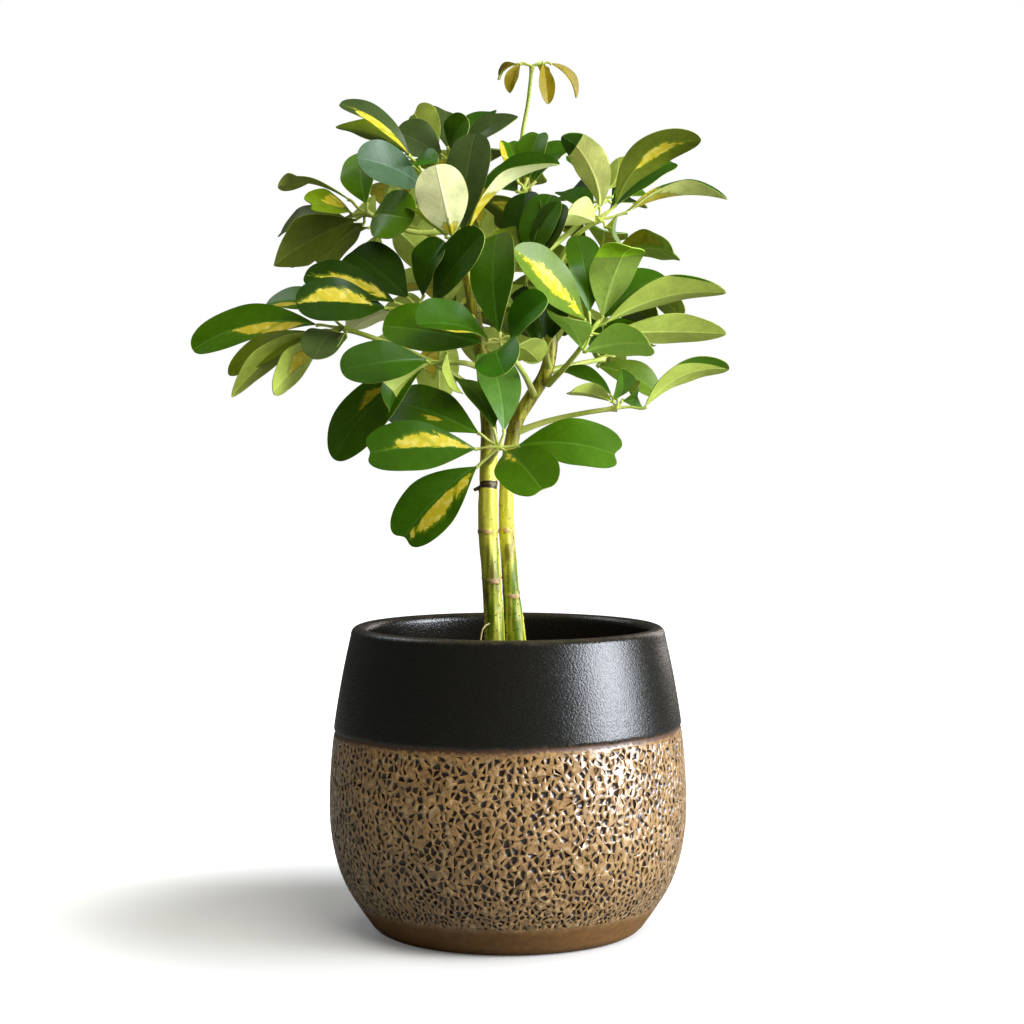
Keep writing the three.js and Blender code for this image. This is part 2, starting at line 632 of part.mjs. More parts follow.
function seenLeaf({ hub, depth, stalk, leaflets, stalkRadius }) {
  const middle = at(hub, depth);
  const path = stalk.map((step) => at(step.spot, step.depth));
  const axis = middle.clone().sub(path[0]).normalize().addScaledVector(SKY, SKYWARD_LEAN).normalize();
  const blades = leaflets.map((leaflet) => {
    const base = at(leaflet.base, depth);
    const tip = at(leaflet.tip, depth + leaflet.reach);
    return { ...leaflet, base, tip, upper: facing(base, tip, leaflet.show, axis) };
  });
  return { path: [...path, middle], hub: middle, blades, stalkRadius };
}

function farLeaf({ cane, height, heading, rise, stalk }, number, canes) {
  const draw = draws(FAR_SEED + number);
  const drawn = ({ least, spread }) => least + spread * draw();
  const foot = canes[cane].curve.getPointAt(stopAtHeight(canes[cane].curve, height));
  const turn = THREE.MathUtils.degToRad(heading);
  const climb = THREE.MathUtils.degToRad(rise);
  const out = new THREE.Vector3(Math.cos(turn), Math.sin(turn), 0);
  const hub = foot.clone().addScaledVector(out, stalk * Math.cos(climb));
  hub.addScaledVector(SKY, stalk * Math.sin(climb));
  const bend = foot.clone().lerp(hub, 0.5).addScaledVector(SKY, FAR_STALK_BEND);
  const axis = out.clone().multiplyScalar(FAR_OUTWARD_LEAN).add(SKY).normalize();
  const first = out.clone().addScaledVector(axis, -out.dot(axis)).normalize();
  const second = axis.clone().cross(first);
  const blades = Array.from({ length: FAR_LEAFLETS }, (_, k) => {
    const angle = ((k + FAR_ANGLE_SPREAD * (draw() - 0.5)) / FAR_LEAFLETS) * 2 * Math.PI;
    const droop = THREE.MathUtils.degToRad(drawn(FAR_DROOP));
    const spread = first.clone().multiplyScalar(Math.cos(angle)).addScaledVector(second, Math.sin(angle));
    const along = spread.clone().multiplyScalar(Math.cos(droop)).addScaledVector(axis, -Math.sin(droop));
    const base = hub.clone().addScaledVector(spread, FAR_STALK_GAP);
    const tip = base.clone().addScaledVector(along, drawn(FAR_LENGTH));
    const upper = axis.clone().addScaledVector(along, -axis.dot(along)).normalize();
    const width = drawn(FAR_WIDTH);
    return { base, tip, upper, width, arch: drawn(FAR_ARCH), stations: FAR_BLADE_STATIONS };
  });
  return { path: [foot, bend, hub], hub, blades };
}

function leafSolid({ path, hub, blades, stalkRadius = STALK_RADIUS }) {
  const curve = path.length > 2 ? new THREE.CatmullRomCurve3(path) : new THREE.LineCurve3(...path);
  const stops = Array.from({ length: STALK_STEPS + 1 }, (_, k) => k / STALK_STEPS);
  const flare = STALK_FOOT_RADIUS - STALK_RADIUS;
  let body = solid(tube(curve, stops, (stop) => stalkRadius + flare * (1 - stop) ** 3, STALK_SIDES));
  const knob = new THREE.OctahedronGeometry(HUB_RADIUS * (stalkRadius / STALK_RADIUS), 0);
  body = body.add(solid(knob.translate(hub.x, hub.y, hub.z)));
  for (const blade of blades) body = body.add(leafletSolid(hub, blade));
  return body;
}

// The object

const canes = {};
const spareCanes = {};
for (const [name, cane] of Object.entries(CANES)) {
  canes[name] = caneSolid(cane, 0);
  spareCanes[name] = caneSolid(cane, CLEARANCE).body;
}
const clearOfCanes = (body) => Object.values(spareCanes).reduce((rest, cane) => rest.subtract(cane), body);

// The outermost body alone: hollows that crossing blades seal are filled, and loose scraps are dropped
const larger = (one, other) => (other.volume() > one.volume() ? other : one);
const outermost = (body) => body.decompose().reduce(larger);

const plant = new THREE.Group();
plant.add(mesh('pot', potSolid(), { color: 0x8a6a44, roughness: 0.6, metalness: 0 }));
plant.add(mesh('soil', clearOfCanes(soilSolid()), { color: 0x1c1510, roughness: 1, metalness: 0 }));
for (const [name, { body }] of Object.entries(canes)) {
  plant.add(mesh(name, body, { color: 0xa6a83a, roughness: 0.55, metalness: 0 }));
}
const leaves = [
  ...LEAVES.map((leaf) => [leaf.name, seenLeaf(leaf)]),
  ...FAR_LEAVES.map((leaf, number) => [leaf.name, farLeaf(leaf, number, canes)]),
];
for (const [name, leaf] of leaves) {
  const young = name === 'leaf_young';
  const look = { color: young ? 0x9a8a2a : 0x3c6a1c, roughness: 0.42, metalness: 0 };
  plant.add(mesh(name, outermost(clearOfCanes(leafSolid(leaf))), look));
}

export default plant;
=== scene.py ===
# A variegated umbrella plant with two canes in a round two-tone pot. Metres, +Z up, -Y to the viewer.
import itertools
import math
import random

import bpy
import numpy as np
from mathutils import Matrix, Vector, noise
from mathutils.geometry import delaunay_2d_cdt


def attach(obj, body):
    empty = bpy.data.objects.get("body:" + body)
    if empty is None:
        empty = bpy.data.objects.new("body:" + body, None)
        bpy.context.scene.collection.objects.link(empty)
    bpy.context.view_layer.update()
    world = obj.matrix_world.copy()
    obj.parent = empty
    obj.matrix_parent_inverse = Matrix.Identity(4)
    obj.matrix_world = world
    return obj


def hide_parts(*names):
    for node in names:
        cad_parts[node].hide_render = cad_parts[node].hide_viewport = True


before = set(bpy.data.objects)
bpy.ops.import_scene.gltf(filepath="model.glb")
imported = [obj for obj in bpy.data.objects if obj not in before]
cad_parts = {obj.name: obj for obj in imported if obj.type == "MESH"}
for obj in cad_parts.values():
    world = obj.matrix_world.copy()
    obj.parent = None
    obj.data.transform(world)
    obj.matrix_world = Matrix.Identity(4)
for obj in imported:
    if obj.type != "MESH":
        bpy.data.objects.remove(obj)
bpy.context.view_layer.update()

# Camera
# It stands where the picture was taken from, 1.2 m in front of the pot and a little below the middle of the
# leaves, and looks slightly down. Through it, places read off the picture become places in metres.
PICTURE = 1024
FOCAL_PIXELS = 2390
SENSOR_MM = 36
EYE = np.array([0.002, -1.195, 0.265])
EYE_DROP = math.radians(2.66)
FORWARD = np.array([0, math.cos(EYE_DROP), -math.sin(EYE_DROP)])
UPWARD = np.array([0, math.sin(EYE_DROP), math.cos(EYE_DROP)])
RIGHTWARD = np.array([1, 0, 0])


def spot(pixel, depth):
    """The place seen at a pixel of the picture, on the upright plane at a depth behind the pot's axis."""
    ray = FORWARD * FOCAL_PIXELS + RIGHTWARD * (pixel[0] - PICTURE / 2) + UPWARD * (PICTURE / 2 - pixel[1])
    return EYE + ray * ((depth - EYE[1]) / ray[1])


camera_data = bpy.data.cameras.new("front_camera")
camera_data.sensor_width = SENSOR_MM
camera_data.lens = FOCAL_PIXELS * SENSOR_MM / PICTURE
camera = bpy.data.objects.new("front_camera", camera_data)
camera.location = EYE
camera.rotation_euler = (math.pi / 2 - EYE_DROP, 0, 0)
bpy.context.scene.collection.objects.link(camera)
bpy.context.scene.camera = camera

# Pot body
# One thrown stoneware piece on a flat foot. Its lower wall is cut all over with short chisel marks, and its
# top third is dipped in a thicker dark glaze, which ends in a soft step above a shallow groove.
WALL_OUTLINE = [
    (0.0685, 0.0035), (0.0755, 0.0135), (0.0815, 0.0235), (0.0854, 0.0335), (0.0878, 0.0435),
    (0.0892, 0.0535), (0.0895, 0.0635), (0.0888, 0.0835), (0.0867, 0.1035), (0.0835, 0.1235),
    (0.0798, 0.1435),
]
FOOT_RINGS = [(0.030, 0.0), (0.058, 0.0), (0.0628, 0.0), (0.0640, 0.0003), (0.0662, 0.0014), (0.0685, 0.0035)]
WALL_STEPS = 400
PATH_FINENESS = 40
WALL_THICKNESS = 0.0085
POT_FLOOR = 0.009
FLOOR_CORNER = 0.012
FLOOR_CORNER_TOP = 0.6
FLOOR_CORNER_TURNS = [(0.2, 0.25), (0.7, 0.0)]
LIP_CENTRE = (0.0748, 0.1486)
LIP_RADIUS = 0.0039
LIP_STEPS = 14
LIP_OVERRUN = 0.01
POT_SIDES = 288
POT_SHARP_ANGLE = math.radians(80)
RING_GAP = 0.0015
MARKS_START = 0.0150
GLAZE_EDGE = 0.1025
GLAZE_TILT = 0.0015
GLAZE_WOBBLE = 0.0004
GLAZE_WAVES = [(5, 1.0, 1), (11, 0.7, 4), (23, 0.5, 2)]
GLAZE_BUILD = 0.0004
GLAZE_START = -0.0001
GLAZE_RISE = 0.0012
GLAZE_ROUNDING = 0.6
GLAZE_THINNING = 4
GROOVE_DEPTH = 0.0004
GROOVE_MIDDLE = -0.0010
GROOVE_HALF_WIDTH = 0.0009
GROOVE_STEPS = [-0.0032, -0.0025, -0.0019, -0.0013, -0.0007, -0.0001, 0.0004, 0.0010, 0.0018]
GLAZE_RINGS = 18
INNER_STEP = 0.008
FAR_ABOVE_EDGE = 0.05


def smooth_path(points, count):
    """Evenly spaced points on a smooth curve through the given ones."""
    knots = np.array(points, float)
    spans = np.linalg.norm(np.diff(knots, axis=0), axis=1)
    times = np.concatenate([[0], np.cumsum(spans)])
    slopes = np.gradient(knots, times, axis=0)
    fine = np.linspace(0, times[-1], PATH_FINENESS * len(knots))
    before = np.clip(np.searchsorted(times, fine, side="right") - 1, 0, len(spans) - 1)
    span = spans[before][:, None]
    share = (fine - times[before])[:, None] / span
    line = knots[before] * (1 + 2 * share) * (1 - share) ** 2 + knots[before + 1] * share**2 * (3 - 2 * share)
    line += span * (slopes[before] * share * (1 - share) ** 2 + slopes[before + 1] * share**2 * (share - 1))
    run = np.concatenate([[0], np.cumsum(np.linalg.norm(np.diff(line, axis=0), axis=1))])
    even = np.linspace(0, run[-1], count)
    return np.column_stack([np.interp(even, run, line[:, axis]) for axis in range(line.shape[1])])


wall = smooth_path(WALL_OUTLINE, WALL_STEPS)
wall_run = np.concatenate([[0], np.cumsum(np.linalg.norm(np.diff(wall, axis=0), axis=1))])
pot_angles = np.arange(POT_SIDES) * 2 * math.pi / POT_SIDES


def wall_radius(height):
    return np.interp(height, wall[:, 1], wall[:, 0])


def run_at(height):
    """How far up the wall, measured along it, a height is reached."""
    return np.interp(height, wall[:, 1], wall_run)


def glaze_edge(angle):
    """Height of the dark glaze's lower edge: dipped slightly askew, and a little wavy."""
    waves = sum(height * np.sin(count * angle + start) for count, height, start in GLAZE_WAVES)
    return GLAZE_EDGE + GLAZE_TILT * np.cos(angle) + GLAZE_WOBBLE * waves / 2


pot_points = []
pot_faces = []
pot_marks = []
pot_reaches = []


def pot_ring(radius, height, reach=-1.0):
    """Adds a ring of points; reach is how far above the glaze's edge it lies, where that matters."""
    first = len(pot_points)
    radius, height, reach = (np.broadcast_to(value, POT_SIDES) for value in (radius, height, reach))
    pot_points.extend(zip(radius * np.cos(pot_angles), radius * np.sin(pot_angles), height))
    pot_marks.extend([0.0] * POT_SIDES)
    pot_reaches.extend(reach)
    return first


def band_between(lower, upper):
    """Faces between two rings, each the next one up the outside or down the inside."""
    for k in range(POT_SIDES):
        following = (k + 1) % POT_SIDES
        pot_faces.append((lower + k, lower + following, upper + following, upper + k))


def fan(ring, height, upwards):
    """Closes a ring with a fan of triangles round its middle."""
    middle = len(pot_points)
    pot_points.append((0.0, 0.0, height))
    pot_marks.append(0.0)
    pot_reaches.append(-1.0)
    for k in range(POT_SIDES):
        here, there = ring + k, ring + (k + 1) % POT_SIDES
        pot_faces.append((middle, here, there) if upwards else (middle, there, here))


def stack(rings):
    """Joins each ring to the next and gives the last one."""
    for lower, upper in zip(rings, rings[1:]):
        band_between(lower, upper)
    return rings[-1]


foot_rings = [pot_ring(radius, height) for radius, height in FOOT_RINGS]
fan(foot_rings[0], 0.0, upwards=False)
foot_heights = np.linspace(FOOT_RINGS[-1][1], MARKS_START, round(MARKS_START / RING_GAP))[1:]
marks_lower = stack(foot_rings + [pot_ring(wall_radius(height), height) for height in foot_heights])

edge_heights = glaze_edge(pot_angles)
groove_rings = []
for step in GROOVE_STEPS:
    dip = GROOVE_DEPTH * math.exp(-(((step - GROOVE_MIDDLE) / GROOVE_HALF_WIDTH) ** 2))
    build = GLAZE_BUILD * np.clip((step - GLAZE_START) / GLAZE_RISE, 0, 1) ** GLAZE_ROUNDING
    height = edge_heights + step
    groove_rings.append(pot_ring(wall_radius(height) - dip + build, height, step))
marks_upper = groove_rings[0]
last_groove = edge_heights + GROOVE_STEPS[-1]
glaze_rings = []
for k in range(1, GLAZE_RINGS + 1):
    height = last_groove + (WALL_OUTLINE[-1][1] - last_groove) * k / GLAZE_RINGS
    build = GLAZE_BUILD * (1 - (k / GLAZE_RINGS) ** GLAZE_THINNING)
    glaze_rings.append(pot_ring(wall_radius(height) + build, height, height - edge_heights))
lip_rings = []
for k in range(LIP_STEPS + 1):
    turn = math.pi * (k / LIP_STEPS * (1 + 2 * LIP_OVERRUN) - LIP_OVERRUN)
    radius = LIP_CENTRE[0] + LIP_RADIUS * math.cos(turn)
    lip_rings.append(pot_ring(radius, LIP_CENTRE[1] + LIP_RADIUS * math.sin(turn), FAR_ABOVE_EDGE))
corner_top = POT_FLOOR + FLOOR_CORNER * FLOOR_CORNER_TOP
inner_rings = []
for height in np.arange(WALL_OUTLINE[-1][1], corner_top, -INNER_STEP):
    inner_rings.append(pot_ring(wall_radius(height) - WALL_THICKNESS, height, FAR_ABOVE_EDGE))
corner_radius = wall_radius(corner_top) - WALL_THICKNESS
for inward, lift in FLOOR_CORNER_TURNS:
    height = POT_FLOOR + FLOOR_CORNER * lift
    inner_rings.append(pot_ring(corner_radius - FLOOR_CORNER * inward, height, FAR_ABOVE_EDGE))
fan(stack(groove_rings + glaze_rings + lip_rings + inner_rings), POT_FLOOR, upwards=True)

# Chisel marks
# Each is a short flat-bottomed cut, pressed into the leather-hard wall in any direction: wedges, blocks and
# bars, packed so close that only narrow rounded ridges stand between them. They are laid out on the wall
# unrolled to a flat ring, one in each cell of a net drawn round scattered middles.
MARK_TRIES = 60000
MARK_SPACING = (0.0021, 0.0040)
LOW_MARK_CROWDING = 0.25
LOW_MARK_REACH = 0.022
RIDGE_HALF_WIDTH = (0.00008, 0.00042)
RIDGE_CREST = 0.00014
MARK_DEPTH = (0.00045, 0.00095)
MARK_DARKNESS = (0.60, 1.15)
MARK_SQUEEZE = (0.36, 0.86)
MARK_TAPER = 0.55
MARK_LEAN = 0.55
MARK_BOTTOM = (0.76, 0.90)
CORNER_LOSS = 0.32
CORNER_SHAKE = 0.12
MARK_MARGIN = 0.0004
CREST_PAINTED_HIGHLIGHT = 0.45
MARK_SEED = 7
RING_RADIUS = 0.0865
PLAN_SCALE = 100
PLAN_TOLERANCE = 1e-5
LEAST_CUT = 0.3


def unrolled(angle, run):
    """Place on a flat ring where the wall keeps its shape near every point."""
    radius = PLAN_SCALE * math.exp(run / RING_RADIUS)
    return Vector((radius * math.cos(angle), radius * math.sin(angle)))


def rolled(point):
    """The angle and the run up the wall of a place on the flat ring."""
    return math.atan2(point[1], point[0]), RING_RADIUS * math.log(math.hypot(*point) / PLAN_SCALE)


def round_wall(angle, other):
    """How far round the wall an angle lies from another, in metres."""
    return math.remainder(angle - other, 2 * math.pi) * RING_RADIUS


def circle_middle(first, second, third):
    """The place equally far from three others."""
    one, other = second - first, third - first
    turn = 2 * (one.x * other.y - one.y * other.x)
    aside = other.y * one.length_squared - one.y * other.length_squared
    ahead = one.x * other.length_squared - other.x * one.length_squared
    return first + Vector((aside, ahead)) / turn


def top_of_marks(angle):
    """How far up the wall the marks reach at an angle, just under the dark glaze."""
    return float(np.interp(angle, pot_angles, upper_runs, period=2 * math.pi))


lower_run = float(run_at(MARKS_START))
upper_runs = run_at(edge_heights + GROOVE_STEPS[0])
plan = [unrolled(angle, lower_run) for angle in pot_angles]
plan += [unrolled(angle, run) for angle, run in zip(pot_angles, upper_runs)]
plan_edges = [(start + k, start + (k + 1) % POT_SIDES) for start in (0, POT_SIDES) for k in range(POT_SIDES)]
plan_cuts = [(0.0, 0.0)] * len(plan)

chance = random.Random(MARK_SEED)
middles = []
taken = {}
cells_round = int(2 * math.pi * RING_RADIUS / MARK_SPACING[1])
cell_angle = 2 * math.pi / cells_round
for attempt in range(MARK_TRIES):
    angle = chance.uniform(0, 2 * math.pi)
    run = chance.uniform(lower_run - MARK_SPACING[1], max(upper_runs) + MARK_SPACING[1])
    fineness = max(chance.random(), attempt / MARK_TRIES)
    lowness = min(max(1 - (run - lower_run) / LOW_MARK_REACH, 0.0), 1.0)
    room = MARK_SPACING[1] + (MARK_SPACING[0] - MARK_SPACING[1]) * fineness
    room *= 1 - LOW_MARK_CROWDING * lowness
    column, row = int(angle / cell_angle), int(run // MARK_SPACING[1])
    near = (other for i in (-1, 0, 1) for j in (-1, 0, 1)
            for other in taken.get(((column + i) % cells_round, row + j), ()))
    if any(math.hypot(round_wall(angle, turn), run - height) - width / 2 < room / 2
           for turn, height, width in near):
        continue
    taken.setdefault((column % cells_round, row), []).append((angle, run, room))
    middles.append((angle, run))

scattered = [unrolled(*middle) for middle in middles]
net_points, _, net_faces, origins, _, _ = delaunay_2d_cdt(scattered, [], [], 0, PLAN_TOLERANCE, True)
cells = [[] for _ in middles]
for face in net_faces:
    corner = rolled(circle_middle(*(net_points[k] for k in face)))
    for k in face:
        cells[origins[k][0]].append(corner)
    if lower_run + MARK_MARGIN < corner[1] < top_of_marks(corner[0]) - MARK_MARGIN:
        plan.append(unrolled(*corner))
        # Each corner of the net is a ridge crest, raised a little and given a painted highlight, a lighter
        # tan.
        crest = chance.random()
        plan_cuts.append((-RIDGE_CREST * crest, -CREST_PAINTED_HIGHLIGHT * crest))
for (angle, run), corners in zip(middles, cells):
    top_run = top_of_marks(angle)
    if not lower_run + MARK_MARGIN < run < top_run - MARK_MARGIN:
        continue
    around = [(round_wall(turn, angle), height - run) for turn, height in corners]
    around.sort(key=lambda place: math.atan2(place[1], place[0]))
    outline = [place for place in around if chance.random() > CORNER_LOSS]
    if len(outline) < 3:
        outline = around
    centre = np.mean(outline, axis=0)
    lean = chance.gauss(math.pi / 2, MARK_LEAN)
    way, side = np.array([math.cos(lean), math.sin(lean)]), np.array([-math.sin(lean), math.cos(lean)])
    squeeze = chance.uniform(*MARK_SQUEEZE)
    taper = chance.uniform(-MARK_TAPER, MARK_TAPER) / np.abs((np.array(outline) - centre) @ way).max()
    ridge = chance.uniform(*RIDGE_HALF_WIDTH)
    depth = chance.uniform(*MARK_DEPTH)
    darkness = chance.uniform(*MARK_DARKNESS)
    bottom = chance.uniform(*MARK_BOTTOM)
    for share, shake, cut in ((1.0, 0.0, (0.0, 0.0)), (bottom, CORNER_SHAKE, (depth, darkness))):
        start = len(plan)
        for place in outline:
            along, across = (place - centre) @ way, (place - centre) @ side * squeeze
            across *= 1 + taper * along
            reach = math.hypot(along, across)
            scale = share * max(LEAST_CUT, 1 - ridge / reach) * (1 + chance.uniform(-shake, shake))
            shift, rise = centre + scale * (along * way + across * side)
            rise = min(max(rise, lower_run + MARK_MARGIN - run), top_run - MARK_MARGIN - run)
            plan.append(unrolled(angle + shift / RING_RADIUS, run + rise))
            plan_cuts.append(cut)
        plan_edges += [(start + k, start + (k + 1) % len(outline)) for k in range(len(outline))]

flat_points, _, triangles, origins, _, _ = delaunay_2d_cdt(plan, plan_edges, [], 0, PLAN_TOLERANCE, True)
wall_index = []
for point, sources in zip(flat_points, origins):
    ring_source = [source for source in sources if source < 2 * POT_SIDES]
    if ring_source:
        source = ring_source[0]
        wall_index.append(marks_lower + source if source < POT_SIDES else marks_upper + source - POT_SIDES)
        continue
    angle, run = rolled(point)
    height = float(np.interp(run, wall_run, wall[:, 1]))
    depth, mark = plan_cuts[sources[0]] if sources else (0.0, 0.0)
    radius = float(wall_radius(height)) - depth
    wall_index.append(len(pot_points))
    pot_points.append((radius * math.cos(angle), radius * math.sin(angle), height))
    pot_marks.append(mark)
    pot_reaches.append(height - float(glaze_edge(angle)))
for triangle in triangles:
    corners = [wall_index[k] for k in triangle]
    if all(marks_lower <= k < marks_lower + POT_SIDES for k in corners):
        continue
    angle, run = rolled(np.mean([flat_points[k] for k in triangle], axis=0))
    if all(marks_upper <= k < marks_upper + POT_SIDES for k in corners) and run > top_of_marks(angle):
        continue
    pot_faces.append(tuple(reversed(corners)))


def new_mesh(name, points, faces):
    """A named object with the given mesh, shaded smooth and linked to the scene."""
    data = bpy.data.meshes.new(name)
    data.from_pydata([tuple(map(float, point)) for point in points], [], faces)
    data.validate()
    data.shade_smooth()
    piece = bpy.data.objects.new(name, data)
    bpy.context.scene.collection.objects.link(piece)
    return piece


def set_attribute(piece, name, values, domain="POINT"):
    """Stores a number or a colour for each point or face, for the piece's material to read."""
    values = np.asarray(values, np.float32)
    kind, field = ("FLOAT_COLOR", "color") if values.ndim > 1 else ("FLOAT", "value")
    piece.data.attributes.new(name, kind, domain).data.foreach_set(field, values.ravel())


pot = new_mesh("pot_body", pot_points, pot_faces)
set_attribute(pot, "mark", pot_marks)
set_attribute(pot, "above_edge", pot_reaches)
pot.data.set_sharp_from_angle(angle=POT_SHARP_ANGLE)

# Stoneware finish
# Black satin glaze above, brown where it thins out over the groove. Below, a thin tan slip that catches the
# light on the ridges, with painted highlights on their crests, and is dark in the cuts; and a bare rough
# brown foot.


def paint(red, green, blue):
    """Colour as a shader wants it, from the everyday 0 to 255 scale."""
    shares = [value / 255 for value in (red, green, blue)]
    return tuple(s / 12.92 if s <= 0.04045 else ((s + 0.055) / 1.055) ** 2.4 for s in shares) + (1.0,)


class Signal:
    """What a node gives out: its first output, or another in brackets. Signals reckon like numbers."""

    def __init__(self, tree, node, output=0):
        self.tree, self.node = tree, node
        self.socket = node.outputs[output] if node.outputs else None

    def __getitem__(self, output):
        return Signal(self.tree, self.node, output)

    def __add__(self, other):
        return maths("ADD", self, other)

    def __sub__(self, other):
        return maths("SUBTRACT", self, other)

    def __rsub__(self, other):
        return maths("SUBTRACT", other, self)

    def __mul__(self, other):
        return maths("MULTIPLY", self, other)

    def __abs__(self):
        return maths("ABSOLUTE", self)


def wire(tree, kind, inputs=(), **settings):
    """Adds a node, with its settings and its inputs by name or number; an input is a value or a signal."""
    node = tree.nodes.new(kind)
    for name, value in settings.items():
        setattr(node, name, value)
    for key, value in dict(inputs).items():
        if isinstance(value, Signal):
            tree.links.new(value.socket, node.inputs[key])
        else:
            node.inputs[key].default_value = value
    return Signal(tree, node)


def maths(operation, *values):
    """One step of arithmetic on numbers and at least one signal."""
    tree = next(value.tree for value in values if isinstance(value, Signal))
    return wire(tree, "ShaderNodeMath", enumerate(values), operation=operation)


def between(share, low, high):
    """Mixes two numbers; a share of 0 gives the first."""
    return wire(share.tree, "ShaderNodeMix", {0: share, 2: low, 3: high})


def blend(share, below, above):
    """Mixes two colours; a share of 0 gives the first."""
    return wire(share.tree, "ShaderNodeMix", {0: share, 6: below, 7: above}, data_type="RGBA")[2]


def fade(value, start, end):
    """0 where the value is at start, 1 at end, and smooth between."""
    inputs = {"Value": value, "From Min": start, "From Max": end}
    return wire(value.tree, "ShaderNodeMapRange", inputs, interpolation_type="SMOOTHSTEP")


def stored(tree, name, output="Fac"):
    return wire(tree, "ShaderNodeAttribute", attribute_name=name)[output]


def place_on(tree):
    """Where on the object a point lies, in metres."""
    return wire(tree, "ShaderNodeTexCoord")["Object"]


def height_on(tree):
    return wire(tree, "ShaderNodeSeparateXYZ", {0: place_on(tree)})["Z"]


def grain(tree, scale, detail=2.0, stretch=None, roughness=0.5):
    """Noise fixed to the object, 0 to 1, with the given number of blobs to the metre."""
    place = place_on(tree)
    if stretch:
        place = wire(tree, "ShaderNodeMapping", {"Vector": place, "Scale": stretch})
    inputs = {"Vector": place, "Scale": scale, "Detail": detail, "Roughness": roughness}
    return wire(tree, "ShaderNodeTexNoise", inputs)["Fac"]


def new_group(name, kind, inputs, outputs):
    """A node group, its sockets given as name, kind and perhaps value, and the signal of its inputs."""
    tree = bpy.data.node_groups.new(name, kind)
    for direction, sockets in (("INPUT", inputs), ("OUTPUT", outputs)):
        for label, socket_kind, *value in sockets:
            socket = tree.interface.new_socket(
                label, in_out=direction, socket_type="NodeSocket" + socket_kind)
            if value:
                socket.default_value = value[0]
    return tree, wire(tree, "NodeGroupInput")


# Mottling: what is uneven in a grown or fired surface, lighter and darker blotches with fine grain in them
mottling, given = new_group(
    "mottling", "ShaderNodeTree",
    [("Colour", "Color", (0.5, 0.5, 0.5, 1)), ("Blotches per Metre", "Float", 100.0),
     ("Strength", "Float", 0.3)],
    [("Mottled Colour", "Color"), ("Unevenness", "Float")])
blotches = grain(mottling, given["Blotches per Metre"], detail=4, roughness=0.6)
value_share = (blotches - 0.5) * given["Strength"] * 2.0 + 1.0
lighter = wire(mottling, "ShaderNodeHueSaturation", {"Color": given["Colour"], "Value": value_share})
wire(mottling, "NodeGroupOutput", {"Mottled Colour": lighter, "Unevenness": blotches})


def mottled(tree, colour, blotches_per_metre, strength):
    inputs = {"Colour": colour, "Blotches per Metre": blotches_per_metre, "Strength": strength}
    return wire(tree, "ShaderNodeGroup", node_tree=mottling, inputs=inputs)


def new_material(name):
    """A material without nodes, and its node tree."""
    material = bpy.data.materials.new(name)
    material.use_nodes = True
    material.node_tree.nodes.clear()
    return material, material.node_tree


def surface(tree, colour, roughness, height=None, relief=0.0001, fixed=()):
    """Ends a material in one shader; height is a relief pattern, and relief how deep it is in metres."""
    inputs = {"Base Color": colour, "Roughness": roughness, **dict(fixed)}
    if height is not None:
        inputs["Normal"] = wire(tree, "ShaderNodeBump", {"Height": height, "Distance": relief})
    wire(tree, "ShaderNodeOutputMaterial", {"Surface": wire(tree, "ShaderNodeBsdfPrincipled", inputs)})


TAN_SLIP = paint(190, 152, 99)
TAN_SHADOW = paint(152, 115, 70)
TAN_PAINTED_HIGHLIGHT = paint(216, 184, 136)
SCUFF_BROWN = paint(104, 74, 44)
CUT_BROWN = paint(48, 34, 22)
FOOT_BROWN = paint(132, 92, 44)
GROOVE_BROWN = paint(84, 58, 38)
BLACK_GLAZE = paint(25, 24, 19)
WORN_LIP = paint(92, 80, 66)
PAINTED_HIGHLIGHT_BAND = (-0.05, -0.40)
SCUFF_BAND = (0.50, 0.64)
SCUFF_STRENGTH = 0.62
CUT_RAGGEDNESS = 0.9
CUT_BAND = (0.47, 0.85)
CUT_BARENESS = 0.4
FOOT_RAGGEDNESS = 0.006
FOOT_BAND = (0.0150, 0.0200)
EDGE_RAGGEDNESS = 0.0042
GROOVE_BAND = (-0.0034, -0.0012)
GROOVE_BARENESS = 0.85
GLAZE_BAND = (-0.0004, 0.0008)
LIP_RAGGEDNESS = 0.004
LIP_BAND = (0.1520, 0.1548)
LIP_WEAR = 0.38
SLIP_ROUGHNESS = (0.27, 0.61)
GLAZE_ROUGHNESS = (0.07, 0.43)
BRUSH_STRETCH = (22, 22, 420)
BRUSH_RELIEF = 0.40
PEEL_RELIEF = 0.95
SLIP_RELIEF = 0.5
STONEWARE_RELIEF = 0.00022
STONEWARE_SPECULAR = 0.66
SHEEN_ROUGHNESS = 0.27
glazed, tree = new_material("two_tone_stoneware")
above_edge, cut, height = stored(tree, "above_edge"), stored(tree, "mark"), height_on(tree)
slip = mottled(tree, blend(grain(tree, 45, detail=3), TAN_SHADOW, TAN_SLIP), 420, 0.5)
# Painted highlight: the ridge crests, whose mark is below nought, are painted a lighter tan.
slip = blend(fade(cut, *PAINTED_HIGHLIGHT_BAND), slip, TAN_PAINTED_HIGHLIGHT)
slip = blend(fade(grain(tree, 760, detail=4), *SCUFF_BAND) * SCUFF_STRENGTH, slip, SCUFF_BROWN)
darkness = fade(grain(tree, 760, detail=5, roughness=0.6) * CUT_RAGGEDNESS + cut, *CUT_BAND)
slip = blend(darkness, slip, mottled(tree, CUT_BROWN, 800, 0.9))
above_foot = fade(grain(tree, 220, detail=3) * FOOT_RAGGEDNESS + height, *FOOT_BAND)
slip = blend(above_foot, mottled(tree, FOOT_BROWN, 260, 0.5), slip)
ragged_edge = (grain(tree, 520, detail=5) - 0.5) * EDGE_RAGGEDNESS + above_edge
groove_share = fade(ragged_edge, *GROOVE_BAND)
